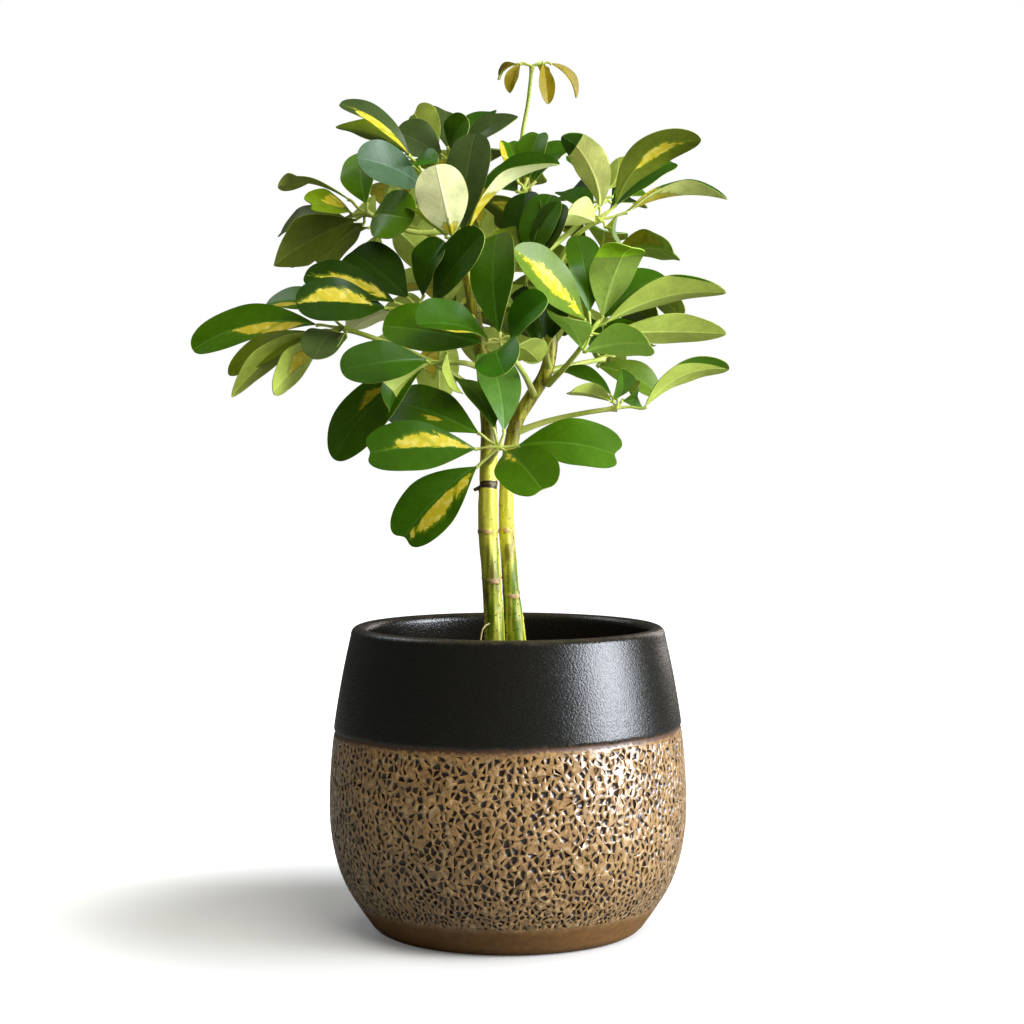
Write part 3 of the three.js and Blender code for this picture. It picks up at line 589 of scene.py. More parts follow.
slip = blend(groove_share, slip, mottled(tree, GROOVE_BROWN, 700, 0.8))
lip_share = fade(grain(tree, 160, detail=4) * LIP_RAGGEDNESS + height, *LIP_BAND) * LIP_WEAR
black = blend(lip_share, mottled(tree, BLACK_GLAZE, 1300, 0.75), WORN_LIP)
glaze_share = fade(ragged_edge, *GLAZE_BAND)
bare = maths("MAXIMUM", 1 - above_foot, darkness * CUT_BARENESS)
bare = maths("MAXIMUM", bare, groove_share * GROOVE_BARENESS)
glaze_roughness = between(grain(tree, 1500, detail=2), *GLAZE_ROUGHNESS)
rough = between(glaze_share, between(bare, *SLIP_ROUGHNESS), glaze_roughness)
brush_lines = grain(tree, 1.0, detail=3, stretch=BRUSH_STRETCH) * BRUSH_RELIEF
orange_peel = grain(tree, 1100, detail=3) * PEEL_RELIEF + brush_lines
relief = between(glaze_share, grain(tree, 900, detail=3) * SLIP_RELIEF, orange_peel)
slip_sheen = (1 - glaze_share) * (1 - bare)
fixed = {"Specular IOR Level": STONEWARE_SPECULAR, "Coat Weight": slip_sheen,
         "Coat Roughness": SHEEN_ROUGHNESS}
surface(tree, blend(glaze_share, slip, black), rough, relief, relief=STONEWARE_RELIEF, fixed=fixed)
pot.data.materials.append(glazed)
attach(pot, "root")
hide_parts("pot")

# Soil
# Dark crumbly potting mix, filled to 22 mm below the rim and pressed a little lower round the wall. Its
# crumbs are strewn over it, some of them bits of bark.
SOIL_TOP = 0.130
SOIL_GAP = 0.0004
SOIL_SIDES = 120
SOIL_RINGS = 34
SOIL_SWELL = 0.0022
SOIL_LUMPS_PER_METRE = 55
SOIL_DROP = 0.0006
SOIL_SINKING = 0.0012
SOIL_SINK_POWER = 8
SOIL_EDGE = 0.006
SOIL_ABOVE_FLOOR = 0.010
SOIL_SIDE_RINGS = 8
CRUMBS_PER_SQUARE_METRE = 190000
CRUMB_SMALLEST = 0.0005
CRUMB_LARGEST = 0.0017
CRUMB_SEED = 3
CRUMB_LEAST_UPWARD = 0.3
PEBBLE_LUMPINESS = 0.35
PEBBLE_LUMPS = 2.5


def strew(piece, grain_piece, per_square_metre, smallest, largest, seed, flat=1.0, least_upward=-2.0):
    """Covers a piece, where it looks up enough, with copies of a small one that become part of its mesh."""
    sizes = {"Per Square Metre": per_square_metre, "Smallest": smallest, "Largest": largest, "Flatness": flat,
             "Least Upward": least_upward}
    tree, given = new_group(
        grain_piece.name + "_strewn", "GeometryNodeTree",
        [("Surface", "Geometry"), *((label, "Float") for label in sizes), ("Seed", "Int"),
         ("Grain", "Object")],
        [("Covered Surface", "Geometry")])
    upward = wire(tree, "ShaderNodeSeparateXYZ", {0: wire(tree, "GeometryNodeInputNormal")})["Z"]
    places = wire(tree, "GeometryNodeDistributePointsOnFaces", {
        "Mesh": given["Surface"], "Density": given["Per Square Metre"], "Seed": given["Seed"],
        "Selection": maths("GREATER_THAN", upward, given["Least Upward"])})
    shape = wire(tree, "GeometryNodeObjectInfo", {"Object": given["Grain"]})
    size = wire(tree, "FunctionNodeRandomValue", {
        2: given["Smallest"], 3: given["Largest"], "Seed": given["Seed"]}, data_type="FLOAT")[1]
    scale = wire(tree, "ShaderNodeCombineXYZ", {0: size, 1: size, 2: size * given["Flatness"]})
    turn = wire(tree, "FunctionNodeRandomValue", {3: 2 * math.pi, "Seed": given["Seed"]}, data_type="FLOAT")
    spin = wire(tree, "FunctionNodeAxisAngleToRotation", {"Angle": turn[1]})
    spun = wire(tree, "FunctionNodeRotateRotation", {0: places["Rotation"], 1: spin}, rotation_space="LOCAL")
    copies = wire(tree, "GeometryNodeInstanceOnPoints", {
        "Points": places["Points"], "Instance": shape["Geometry"], "Rotation": spun, "Scale": scale})
    real = wire(tree, "GeometryNodeRealizeInstances", {0: copies})
    finish = wire(tree, "GeometryNodeSetMaterial", {
        "Geometry": real, "Material": grain_piece.data.materials[0]})
    joined = wire(tree, "GeometryNodeJoinGeometry", {0: finish})
    tree.links.new(given["Surface"].socket, joined.node.inputs[0])
    wire(tree, "NodeGroupOutput", {0: joined})

    modifier = piece.modifiers.new("strewn", "NODES")
    modifier.node_group = tree
    values = {**sizes, "Seed": seed, "Grain": grain_piece}
    for item in tree.interface.items_tree:
        if item.name in values:
            modifier[item.identifier] = values[item.name]
    covered = piece.evaluated_get(bpy.context.evaluated_depsgraph_get())
    bare = piece.data
    piece.data = bpy.data.meshes.new_from_object(covered)
    piece.modifiers.clear()
    bpy.data.meshes.remove(bare)
    bpy.data.objects.remove(grain_piece)


def pebble(name, squash, seed):
    """An irregular grain one unit across, for strewing."""
    bpy.ops.mesh.primitive_ico_sphere_add(subdivisions=1, radius=0.5)
    piece = bpy.context.object
    piece.name = name
    for vertex in piece.data.vertices:
        vertex.co *= 1 + PEBBLE_LUMPINESS * noise.noise(vertex.co * PEBBLE_LUMPS + Vector((seed, 0, 0)))
        vertex.co.x *= squash
    return piece


soil_points = []
soil_faces = []
for ring in range(SOIL_RINGS + 1):
    radius = (wall_radius(SOIL_TOP) - WALL_THICKNESS - SOIL_GAP) * ring / SOIL_RINGS
    for k in range(SOIL_SIDES if ring else 1):
        angle = 2 * math.pi * k / SOIL_SIDES
        place = Vector((radius * math.cos(angle), radius * math.sin(angle), 0))
        lumps = noise.fractal(place * SOIL_LUMPS_PER_METRE, 1.0, 2.0, 4) * SOIL_SWELL
        sinking = SOIL_SINKING * (ring / SOIL_RINGS) ** SOIL_SINK_POWER
        soil_points.append((place.x, place.y, SOIL_TOP - SOIL_DROP + lumps - sinking))
for height in np.linspace(SOIL_TOP - SOIL_EDGE, POT_FLOOR + SOIL_ABOVE_FLOOR, SOIL_SIDE_RINGS):
    radius = wall_radius(height) - WALL_THICKNESS - SOIL_GAP
    for k in range(SOIL_SIDES):
        angle = 2 * math.pi * k / SOIL_SIDES
        soil_points.append((radius * math.cos(angle), radius * math.sin(angle), height))
soil_points.append((0, 0, POT_FLOOR + SOIL_ABOVE_FLOOR))
first_ring = 1
for k in range(SOIL_SIDES):
    soil_faces.append((0, first_ring + k, first_ring + (k + 1) % SOIL_SIDES))
for start in range(first_ring, len(soil_points) - 1 - SOIL_SIDES, SOIL_SIDES):
    for k in range(SOIL_SIDES):
        following = (k + 1) % SOIL_SIDES
        outer = start + SOIL_SIDES
        soil_faces.append((start + k, outer + k, outer + following, start + following))
last_ring = len(soil_points) - 1 - SOIL_SIDES
for k in range(SOIL_SIDES):
    soil_faces.append((len(soil_points) - 1, last_ring + (k + 1) % SOIL_SIDES, last_ring + k))
soil = new_mesh("soil_fill", soil_points, soil_faces)
EARTH = paint(44, 33, 25)
DRY_EARTH = paint(84, 64, 46)
BARK_CRUMB = paint(104, 76, 50)
BARK_CRUMB_BAND = (0.45, 0.68)
SOIL_ROUGHNESS = 0.92
CRUMB_ROUGHNESS = 0.9
SOIL_RELIEF = 0.0008
potting_mix, tree = new_material("potting_mix")
earth = mottled(tree, blend(grain(tree, 150, detail=4), EARTH, DRY_EARTH), 900, 0.8)
surface(tree, earth, SOIL_ROUGHNESS, earth["Unevenness"], relief=SOIL_RELIEF)
soil.data.materials.append(potting_mix)
crumb = pebble("soil_crumb", 0.7, 5)
crumb_mix, tree = new_material("soil_crumbs")
crumb_tone = blend(fade(grain(tree, 420, detail=1), *BARK_CRUMB_BAND), EARTH, BARK_CRUMB)
surface(tree, mottled(tree, crumb_tone, 1500, 0.7), CRUMB_ROUGHNESS)
crumb.data.materials.append(crumb_mix)
strew(soil, crumb, CRUMBS_PER_SQUARE_METRE, CRUMB_SMALLEST, CRUMB_LARGEST, CRUMB_SEED,
      least_upward=CRUMB_LEAST_UPWARD)
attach(soil, "root")
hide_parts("soil")

# Canes
# Two green-yellow canes, rooted in the mix, each a thin smooth bark with pale ring scars where old leaves
# fell, a few brown patches and small corky pores. The left one keeps a dark collar with the stub of a stalk.
CANES = {
    "stem_left": {
        "course": [
            ((494.5, 640), 0.0, 0.0052), ((493.5, 610), 0.0, 0.0049), ((491, 575), 0.0, 0.0048),
            ((488.5, 540), 0.0, 0.0048), ((487.5, 510), 0.0, 0.0047), ((488.5, 475), 0.001, 0.0045),
            ((489, 440), 0.002, 0.0041), ((486, 395), 0.003, 0.0037), ((480, 345), 0.004, 0.0033),
            ((471, 295), 0.005, 0.0029), ((462, 245), 0.007, 0.0025), ((455, 200), 0.010, 0.0021),
            ((451, 168), 0.014, 0.0018),
        ],
        "rings": [(493, 612), (490.5, 577), (488, 532), (488, 486), (489, 446)],
    },
    "stem_right": {
        "course": [
            ((515.5, 640), 0.006, 0.0052), ((513, 610), 0.006, 0.0046), ((510, 580), 0.006, 0.0041),
            ((507.5, 545), 0.006, 0.0039), ((506, 510), 0.007, 0.0036), ((507, 475), 0.008, 0.0035),
            ((511, 445), 0.008, 0.0035), ((517, 420), 0.008, 0.0035), ((531, 397), 0.008, 0.0034),
            ((545, 374), 0.008, 0.0033), ((551, 348), 0.008, 0.0031), ((549, 310), 0.008, 0.0028),
            ((543, 265), 0.009, 0.0025), ((533, 215), 0.011, 0.0021), ((525, 175), 0.014, 0.0017),
        ],
        "rings": [(513.5, 621), (511, 593), (506.5, 532), (515, 427)],
    },
}
CANE_FOOT = 0.096
CANE_STOPS = 420
CANE_SIDES = 40
RING_SWELL = 0.00045
RING_HALF_HEIGHT = 0.0012
RING_TILT = 0.0020
RING_WAVER = 0.0003
CREASES = [(-1.0, 0.85), (0.15, 0.6), (1.0, 0.5)]
CREASE_HALF_HEIGHT = 0.00032
CREASE_WAVER = 0.0004
CREASE_DEPTH = 0.00022
RIB_HEIGHTS = (0.00010, 0.00007)
RIB_TWIST_LENGTH = 0.05
LUMP_HEIGHT = 0.00022
LUMPS_ROUND = 1.5
LUMPS_PER_METRE = 120
COLLAR_LINES = [(488, 482), (488, 487.5)]
COLLAR_WAVER = (0.0004, 0.0002)
COLLAR_LINE_HALF_HEIGHT = 0.0006
COLLAR_LINE_DARKNESS = 1.15
COLLAR_HALF_HEIGHT = 0.002
COLLAR_DARKNESS = 0.68
STUB_ENDS = [((481, 487), -0.001), ((474, 490), -0.002)]
STUB_STOPS = 8
STUB_SIDES = 16
STUB_RADIUS = 0.0011
STUB_TAPER = 0.0003
STUB_WAVER = 0.0001
STUB_DARKNESS = 1.2
PORES_PER_SQUARE_METRE = 100000
PORE_SIZES = (0.0003, 0.0012)
PORE_FLATNESS = 0.35
PORE_SEED = 21


def level_of(pixel):
    """The height seen at a pixel, in the plane of the pot's axis."""
    return spot(pixel, 0)[2]


def bell(distance, half_width, power=2):
    """1 in the middle and fading out round the half width, more sharply with a higher power."""
    return np.exp(-((distance / half_width) ** power))


def unit(vectors):
    return vectors / np.linalg.norm(vectors, axis=-1, keepdims=True)


def tube(path, radii, sides):
    """Points and faces of a closed tube; radii has a value for each stop, or one for each side of each."""
    path = np.asarray(path, float)
    turns = np.arange(sides) * 2 * math.pi / sides
    across = np.array([1, 0, 0.01])
    rings = []
    for middle, onward, radius in zip(path, unit(np.gradient(path, axis=0)), radii):
        across = unit(across - onward * (across @ onward))
        third = np.cross(onward, across)
        out = np.cos(turns)[:, None] * across + np.sin(turns)[:, None] * third
        rings.append(middle + np.broadcast_to(radius, sides)[:, None] * out)
    points = np.vstack(rings + [path[:1], path[-1:]])
    start, end = len(points) - 2, len(points) - 1
    faces = []
    for k in range(sides):
        following = (k + 1) % sides
        faces.append((start, following, k))
        faces.append((end, end - 1 - sides + k, end - 1 - sides + following))
        for low in range(0, (len(path) - 1) * sides, sides):
            high = low + sides
            faces.append((low + k, low + following, high + following, high + k))
    return points, faces


GREEN_BARK = paint(98, 124, 8)
YELLOW_BARK = paint(218, 212, 74)
OLD_BARK = paint(104, 100, 22)
SCAR = paint(204, 158, 118)
BARK_BROWN = paint(104, 78, 30)
COLLAR_BROWN = paint(58, 40, 30)
PORE_BROWN = paint(52, 42, 14)
YELLOW_SPOTS = [(490, 590), (490, 505)]
OLD_SPOTS = [(490, 470), (490, 430)]
STREAK_STRETCH = (420, 420, 22)
BROWNING_STRETCH = (120, 120, 45)
RIPENING = 0.34
RIPE_BAND = (0.45, 0.72)
AGED_STREAKS = (0.75, 0.35)
BROWNING_BAND = (0.56, 0.70)
BROWNING_STRENGTH = 0.75
SCAR_RAGGEDNESS = 0.9
SCAR_BAND = (0.70, 1.25)
SCAR_STRENGTH = 0.8
CREASE_RAGGEDNESS = 0.3
CREASE_BAND = (0.55, 0.9)
BARK_ROUGHNESS = 0.46
STREAK_RELIEF = 0.7
BARK_RELIEF = 0.00018
PORE_ROUGHNESS = 0.7
bark, tree = new_material("green_bark")
streaks = grain(tree, 1.0, detail=3, stretch=STREAK_STRETCH)
patches = grain(tree, 1.0, detail=3, stretch=BROWNING_STRETCH)
height = height_on(tree)
ripeness = fade(height, *map(level_of, YELLOW_SPOTS)) * RIPENING + streaks
colour = blend(fade(ripeness, *RIPE_BAND), GREEN_BARK, YELLOW_BARK)
ageing = fade(height, *map(level_of, OLD_SPOTS)) * fade(streaks, *AGED_STREAKS)
colour = blend(ageing, colour, OLD_BARK)
colour = blend(fade(patches, *BROWNING_BAND) * BROWNING_STRENGTH, colour, BARK_BROWN)
scar = grain(tree, 900, detail=3) * SCAR_RAGGEDNESS + stored(tree, "scar")
colour = blend(fade(scar, *SCAR_BAND) * SCAR_STRENGTH, colour, SCAR)
crease = grain(tree, 900, detail=2) * CREASE_RAGGEDNESS + stored(tree, "crease")
colour = blend(fade(crease, *CREASE_BAND), colour, COLLAR_BROWN)
bark_tone = mottled(tree, colour, 340, 0.28)
bark_height = streaks * STREAK_RELIEF + bark_tone["Unevenness"]
surface(tree, bark_tone, BARK_ROUGHNESS, bark_height, relief=BARK_RELIEF)

# The plain factors of turns and number only keep one ring from being like the next.
cane_paths = {}
turns = np.arange(CANE_SIDES) * 2 * math.pi / CANE_SIDES
for name, cane in CANES.items():
    stops = [(*spot(pixel, depth), radius) for pixel, depth, radius in cane["course"]]
    foot = (*stops[0][:2], CANE_FOOT, stops[0][3])
    course = smooth_path([foot] + stops, CANE_STOPS)
    path, radii = course[:, :3], course[:, 3]
    cane_paths[name] = path
    heights = path[:, 2:3]
    scars = np.zeros((CANE_STOPS, CANE_SIDES))
    creases = np.zeros((CANE_STOPS, CANE_SIDES))
    for number, pixel in enumerate(cane["rings"]):
        tilt = RING_TILT * np.cos(turns - 1.9 * number) * (0.4 + 0.6 * (number % 2))
        level = level_of(pixel) + tilt + RING_WAVER * np.sin(3 * turns + number)
        strength = 0.62 + 0.38 * np.sin(turns + 2.1 * number) + 0.12 * np.sin(4 * turns + number)
        scars = np.maximum(scars, strength * bell(heights - level, RING_HALF_HEIGHT, 4))
        for offset, depth in CREASES:
            wander = offset * RING_HALF_HEIGHT + CREASE_WAVER * np.sin(2 * turns + 2.7 * number + 3 * offset)
            crease = bell(heights - level - wander, CREASE_HALF_HEIGHT)
            creases = np.maximum(creases, crease * depth * (0.35 + 0.65 * strength))
    if name == "stem_left":
        for number, pixel in enumerate(COLLAR_LINES):
            level = level_of(pixel) + COLLAR_WAVER[0] * np.cos(turns + 2 * number)
            level = level + COLLAR_WAVER[1] * np.sin(3 * turns + number)
            line = COLLAR_LINE_DARKNESS * bell(heights - level, COLLAR_LINE_HALF_HEIGHT, 4)
            creases = np.maximum(creases, line)
        middle = sum(map(level_of, COLLAR_LINES)) / 2
        creases = np.maximum(creases, COLLAR_DARKNESS * bell(heights - middle, COLLAR_HALF_HEIGHT, 4))
    ribs = RIB_HEIGHTS[0] * np.sin(5 * turns + 9 * heights / RIB_TWIST_LENGTH)
    ribs = ribs + RIB_HEIGHTS[1] * np.sin(9 * turns + 2)
    places = [[(math.cos(turn) * LUMPS_ROUND, math.sin(turn) * LUMPS_ROUND, height * LUMPS_PER_METRE)
               for turn in turns] for height in heights[:, 0]]
    lumps = np.array([[noise.noise(Vector(place)) for place in row] for row in places])
    girth = radii[:, None] + ribs + LUMP_HEIGHT * lumps + RING_SWELL * scars
    girth = girth - CREASE_DEPTH * np.clip(creases, 0, 1)
    points, faces = tube(path, girth, CANE_SIDES)
    scars = np.append(scars.ravel(), (0, 0))
    creases = np.append(creases.ravel(), (0, 0))
    if name == "stem_left":
        stub_path = np.linspace(spot(*STUB_ENDS[0]), spot(*STUB_ENDS[1]), STUB_STOPS)
        stub_girth = STUB_RADIUS - STUB_TAPER * np.linspace(0, 1, STUB_STOPS)[:, None]
        stub_girth = stub_girth + STUB_WAVER * np.sin(3 * turns[:STUB_SIDES])
        stub_points, stub_faces = tube(stub_path, stub_girth, STUB_SIDES)
        faces += [tuple(k + len(points) for k in face) for face in stub_faces]
        points = np.vstack([points, stub_points])
        scars = np.append(scars, np.zeros(len(stub_points)))
        creases = np.append(creases, np.full(len(stub_points), STUB_DARKNESS))
    stem = new_mesh(name.replace("stem", "cane"), points, faces)
    set_attribute(stem, "scar", scars)
    set_attribute(stem, "crease", creases)
    stem.data.materials.append(bark)
    pore = pebble("bark_pore", 0.6, 2)
    pore_cork, tree = new_material(name.replace("stem", "pore_cork"))
    surface(tree, mottled(tree, PORE_BROWN, 2000, 0.4), PORE_ROUGHNESS)
    pore.data.materials.append(pore_cork)
    strew(stem, pore, PORES_PER_SQUARE_METRE, *PORE_SIZES, PORE_SEED, flat=PORE_FLATNESS)
    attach(stem, "root")
    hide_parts(name)

# Root
# One thin pale root loops out of the mix beside the left cane and back in.
ROOT_SPOTS = [
    ((487, 674), -0.004), ((483, 655), -0.0055), ((481, 637), -0.0065), ((484, 627), -0.0060),
    ((490, 623), -0.0040),
]
ROOT_RADIUS = 0.0004
ROOT_STOPS = 24
ROOT_SIDES = 8
ROOT_PALE = paint(206, 188, 130)
ROOT_ROUGHNESS = 0.6
root_path = smooth_path([spot(pixel, depth) for pixel, depth in ROOT_SPOTS], ROOT_STOPS)
root_points, root_faces = tube(root_path, np.full(ROOT_STOPS, ROOT_RADIUS), ROOT_SIDES)
root = new_mesh("pale_root", root_points, root_faces)
root_skin, tree = new_material("root_skin")
surface(tree, mottled(tree, ROOT_PALE, 1200, 0.3), ROOT_ROUGHNESS)
root.data.materials.append(root_skin)
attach(root, "root")

# Leaf skin
# Waxy green above with a pale midrib, faint side veins and ragged yellow patches; paler and duller below.
# The margin is a thin pale line. Leaflets differ in tone with their age and place; some tones are painted
# light and shade.
# Painted shade and light among the upper tones: shade is painted shade for leaflets deep in the crown; bright
# and leafy are lighter greens painted on leaflets that catch the light; slate is a bluish grey painted for a
# sheen of reflected sky.
TONES = {
    "deep": (50, 88, 1), "mid": (68, 110, 1), "fresh": (60, 116, 6), "olive": (88, 106, 6),
    "grey": (66, 84, 38), "shade": (36, 64, 1), "bronze": (138, 122, 16), "mint": (80, 120, 40),
    "lime": (112, 138, 16), "sage": (94, 122, 30), "bright": (150, 200, 24), "leafy": (98, 144, 10),
    "slate": (74, 102, 72),
}
# The undersides are pale, and these tones are painted paler still, standing in for light shining through the
# thin blade; spring is the lighter green painted on undersides that catch the light.
UNDER_TONES = {
    "pale": (180, 198, 84), "cream": (252, 255, 186), "olive": (92, 106, 16), "fresh": (132, 160, 60),
    "light": (250, 255, 150), "spring": (200, 255, 110),
}
RIM_TONE = paint(190, 204, 96)
LEAF_YELLOW = paint(202, 184, 38)
LEAF_CREAM = paint(220, 206, 92)
LEAF_LIME = paint(122, 140, 12)
UPPER, UNDER, RIM = 0, 1, 2
BLADE_SKIN, STALK_SKIN = 0, 1
MIDRIB_NARROWING = 0.05
MIDRIB_BAND = (0.105, 0.045)
VEIN_WANDER = 0.9
VEIN_BAND = (0.11, 0.02)
VEIN_END_BAND = (0.95, 0.5)
FIELDS_PER_VEIN = 1.7
HALVES_APART = 40.0
UNDER_BAND = (0.4, 0.6)
RIM_BAND = (1.4, 1.6)
TURNED_BAND = (-0.006, 0.006)
RIB_TINT = {"Saturation": 0.9, "Value": 1.9}
SIDE_VEIN_STRENGTH = 0.07
MIDRIB_STRENGTH = 0.34
PATCH_RAGGEDNESS = 1.1
FIELD_RAGGEDNESS = 0.6
CREAM_BAND = (0.42, 0.7)
LIMED_BAND = (0.30, 0.05)
LIMED_STRENGTH = 0.6
SPECKLE_BAND = (0.48, 0.62)
VEIL_BAND = (-0.34, -0.02)
VEIL_STRENGTH = (0.45, 0.85)
YELLOW_BAND = (0.04, 0.12)
SHEEN_SPREAD = 0.12
MIDRIB_RELIEF = 1.2
SIDE_VEIN_RELIEF = 0.25
SKIN_RELIEF = 0.35
LEAF_RELIEF = 0.00012
LEAF_SPECULAR = 0.26

# Veins: a midrib and pairs of side veins that run forward to the margin, from the blade's own map
veins, given = new_group(
    "leaf_veins", "ShaderNodeTree", [("Pairs of Side Veins", "Float", 9.0), ("Forward Sweep", "Float", 2.6)],
    [("Midrib", "Float"), ("Side Veins", "Float"), ("Field Draw", "Float")])
blade_map = wire(veins, "ShaderNodeSeparateXYZ", {0: wire(veins, "ShaderNodeUVMap", uv_map="blade")})
along = blade_map["X"]
aside = abs(blade_map["Y"] * 2.0 - 1.0)
midrib = fade(along * MIDRIB_NARROWING + aside, *MIDRIB_BAND)
order = along * given["Pairs of Side Veins"] - aside * given["Forward Sweep"]
order = grain(veins, 260, detail=2) * VEIN_WANDER + order
off_vein = abs(maths("FRACT", order) - 0.5)
side_veins = fade(off_vein, *VEIN_BAND) * fade(aside, *VEIN_END_BAND)
half = maths("GREATER_THAN", blade_map["Y"], 0.5)
field = maths("FLOOR", order * FIELDS_PER_VEIN + half * HALVES_APART)
field_draw = wire(veins, "ShaderNodeTexWhiteNoise", {"W": field}, noise_dimensions="1D")["Value"]
wire(veins, "NodeGroupOutput", {"Midrib": midrib, "Side Veins": side_veins, "Field Draw": field_draw})


def leaf_material(name, upper_roughness, under_roughness, patchiness):
    """A blade's skin: its faces say which side they are and what tone, its points how far inside a patch."""
    material, tree = new_material(name)
    tone, side = stored(tree, "tone", "Color"), stored(tree, "side")
    under, rim = fade(side, *UNDER_BAND), fade(side, *RIM_BAND)
    lines = wire(tree, "ShaderNodeGroup", node_tree=veins)
    skin = mottled(tree, tone, 190, 0.30)
    other_skin = mottled(tree, stored(tree, "other_tone", "Color"), 190, 0.30)
    colour = blend(fade(stored(tree, "turned"), *TURNED_BAND), skin, other_skin)
    colour = mottled(tree, colour, 900, 0.16)
    rib_tone = wire(tree, "ShaderNodeHueSaturation", {**RIB_TINT, "Color": colour})
    colour = blend(lines["Side Veins"] * SIDE_VEIN_STRENGTH, colour, rib_tone)
    colour = blend(lines["Midrib"] * MIDRIB_STRENGTH, colour, rib_tone)
    ragged = (grain(tree, 420, detail=4, roughness=0.7) - 0.5) * PATCH_RAGGEDNESS
    ragged = ragged + (lines["Field Draw"] - 0.5) * FIELD_RAGGEDNESS
    reach = ragged * patchiness + stored(tree, "patch")
    yellow = blend(fade(grain(tree, 260, detail=2), *CREAM_BAND), LEAF_YELLOW, LEAF_CREAM)
    limed = fade(lines["Field Draw"], *LIMED_BAND) * LIMED_STRENGTH
    yellow = blend(limed, mottled(tree, yellow, 1100, 0.2), LEAF_LIME)
    speckle = fade(grain(tree, 1500, detail=2), *SPECKLE_BAND)
    veil = fade(reach, *VEIL_BAND) * between(speckle, *VEIL_STRENGTH)
    colour = blend(veil, colour, LEAF_LIME)
    colour = blend(fade(reach, *YELLOW_BAND), colour, yellow)
    colour = blend(rim, colour, tone)
    rough = (skin["Unevenness"] - 0.5) * SHEEN_SPREAD + between(under, upper_roughness, under_roughness)
    relief = lines["Midrib"] * MIDRIB_RELIEF + lines["Side Veins"] * SIDE_VEIN_RELIEF
    relief = relief * between(under, -1.0, 1.0) + grain(tree, 600, detail=2) * SKIN_RELIEF
    fixed = {"Specular IOR Level": LEAF_SPECULAR}
    surface(tree, colour, rough, relief, relief=LEAF_RELIEF, fixed=fixed)
    return material


leaf_skin = leaf_material("waxy_leaf", 0.36, 0.55, 0.9)
young_skin = leaf_material("young_leaf", 0.38, 0.45, 0.4)

STALK_GREEN = paint(176, 196, 78)
STALK_LIME = paint(206, 212, 110)
STALK_LIME_BAND = (0.35, 0.65)
STALK_ROUGHNESS = 0.42
stalk_skin, tree = new_material("leaf_stalk")
stalk_tone = blend(fade(grain(tree, 60, detail=2), *STALK_LIME_BAND), STALK_GREEN, STALK_LIME)
stalk_look = mottled(tree, stalk_tone, 500, 0.25)
surface(tree, stalk_look, STALK_ROUGHNESS, stalk_look["Unevenness"])

# Leaflets
# Each is one thin blade: a wedge at the base, widest past the middle, with a round and often notched tip. It
# is folded a little along the midrib, bows, twists, and has a slightly wavy margin.
BLADE_ROWS = 27
BLADE_COLUMNS = np.array([
    -1, -0.94, -0.82, -0.64, -0.44, -0.24, -0.07, 0, 0.07, 0.24, 0.44, 0.64, 0.82, 0.94, 1])
WIDEST_AT = 0.6
BASE_POWER = 1.1
TIP_POWER = 2.4
TIP_SHOULDER = 0.94
FIRST_ROW = 0.012
FOLD_STEPS = 200
FOLD_LENGTH = 0.12
BLADE_HALF_THICKNESS = 0.00024
MARGIN_THINNING = 0.35
MARGIN_BULGE = 0.00010
RIB_STANDS = 0.00034
RIB_TAPER = 0.8
RIB_ABOVE = 0.3
RIB_COLUMNS = 0.1
RIB_SIDE_SLOPE = 4
BLADE_SHARP_ANGLE = math.radians(48)
NOTCH_SPREAD = 0.30
NOTCH_POWER = 12
CUP_SOFTNESS = 0.02
CUP_SINKING = 0.1
LOPSIDEDNESS = 0.05
WAVE_HEIGHT = 0.0007
WAVE_HALF_WIDTH = 0.012
WAVE_COUNTS = (1.2, 2.2)
WAVE_STARTS = (0, 6.3)
TWIST = 0.16
TONE_SPREAD = 0.1
PATCH_FADES = (0.10, 0.24)
PATCH_EDGES = (0.10, 0.30)
PATCH_LEAST_SPREAD = 0.10
PATCH_BULGE = 0.8
WEDGE_START = 0.1
WEDGE_POWER = 1.5
ASTRIDE_LEAST = 0.2
STALK_RADIUS = 0.00125
YOUNG_STALK_RADIUS = 0.0009
STALK_FLARE = 0.00075
STALK_STOPS = 30
STALK_SIDES = 12
HUB_SWELL = 0.0021
HUB_REACH = 0.04
LITTLE_STALK_RADIUS = 0.0007
LITTLE_STALK_FLARE = 0.35
LITTLE_STALK_BEND = 0.0008
LITTLE_STALK_OVERLAP = 0.0012
LITTLE_STALK_STOPS = 10
LITTLE_STALK_SIDES = 8
SKY = np.array([0, 0, 1])
SKYWARD_LEAN = 0.8
PLAIN_BLADE = {
    "arch": 0.004, "rise": 0.0, "cup": 0.002, "notch": 0.0, "twist": 0.0, "twist_from": 0.4, "fold_at": 0.7,
    "fold_over": 0.0, "turned": (2, 2), "blunt": TIP_POWER, "upper": "mid", "under": "pale", "yellow": None,
}


def blade_share(along, blunt=TIP_POWER):
    """Half width of a blade, as a share of its widest, at a share of its length."""
    wedge = np.sin(math.pi / 2 * np.clip(along / WIDEST_AT, 0, 1)) ** BASE_POWER
    past = np.clip((along - WIDEST_AT) / (1 - WIDEST_AT), 0, 1)
    return np.where(along < WIDEST_AT, wedge, (1 - past**blunt) ** (1 / blunt))


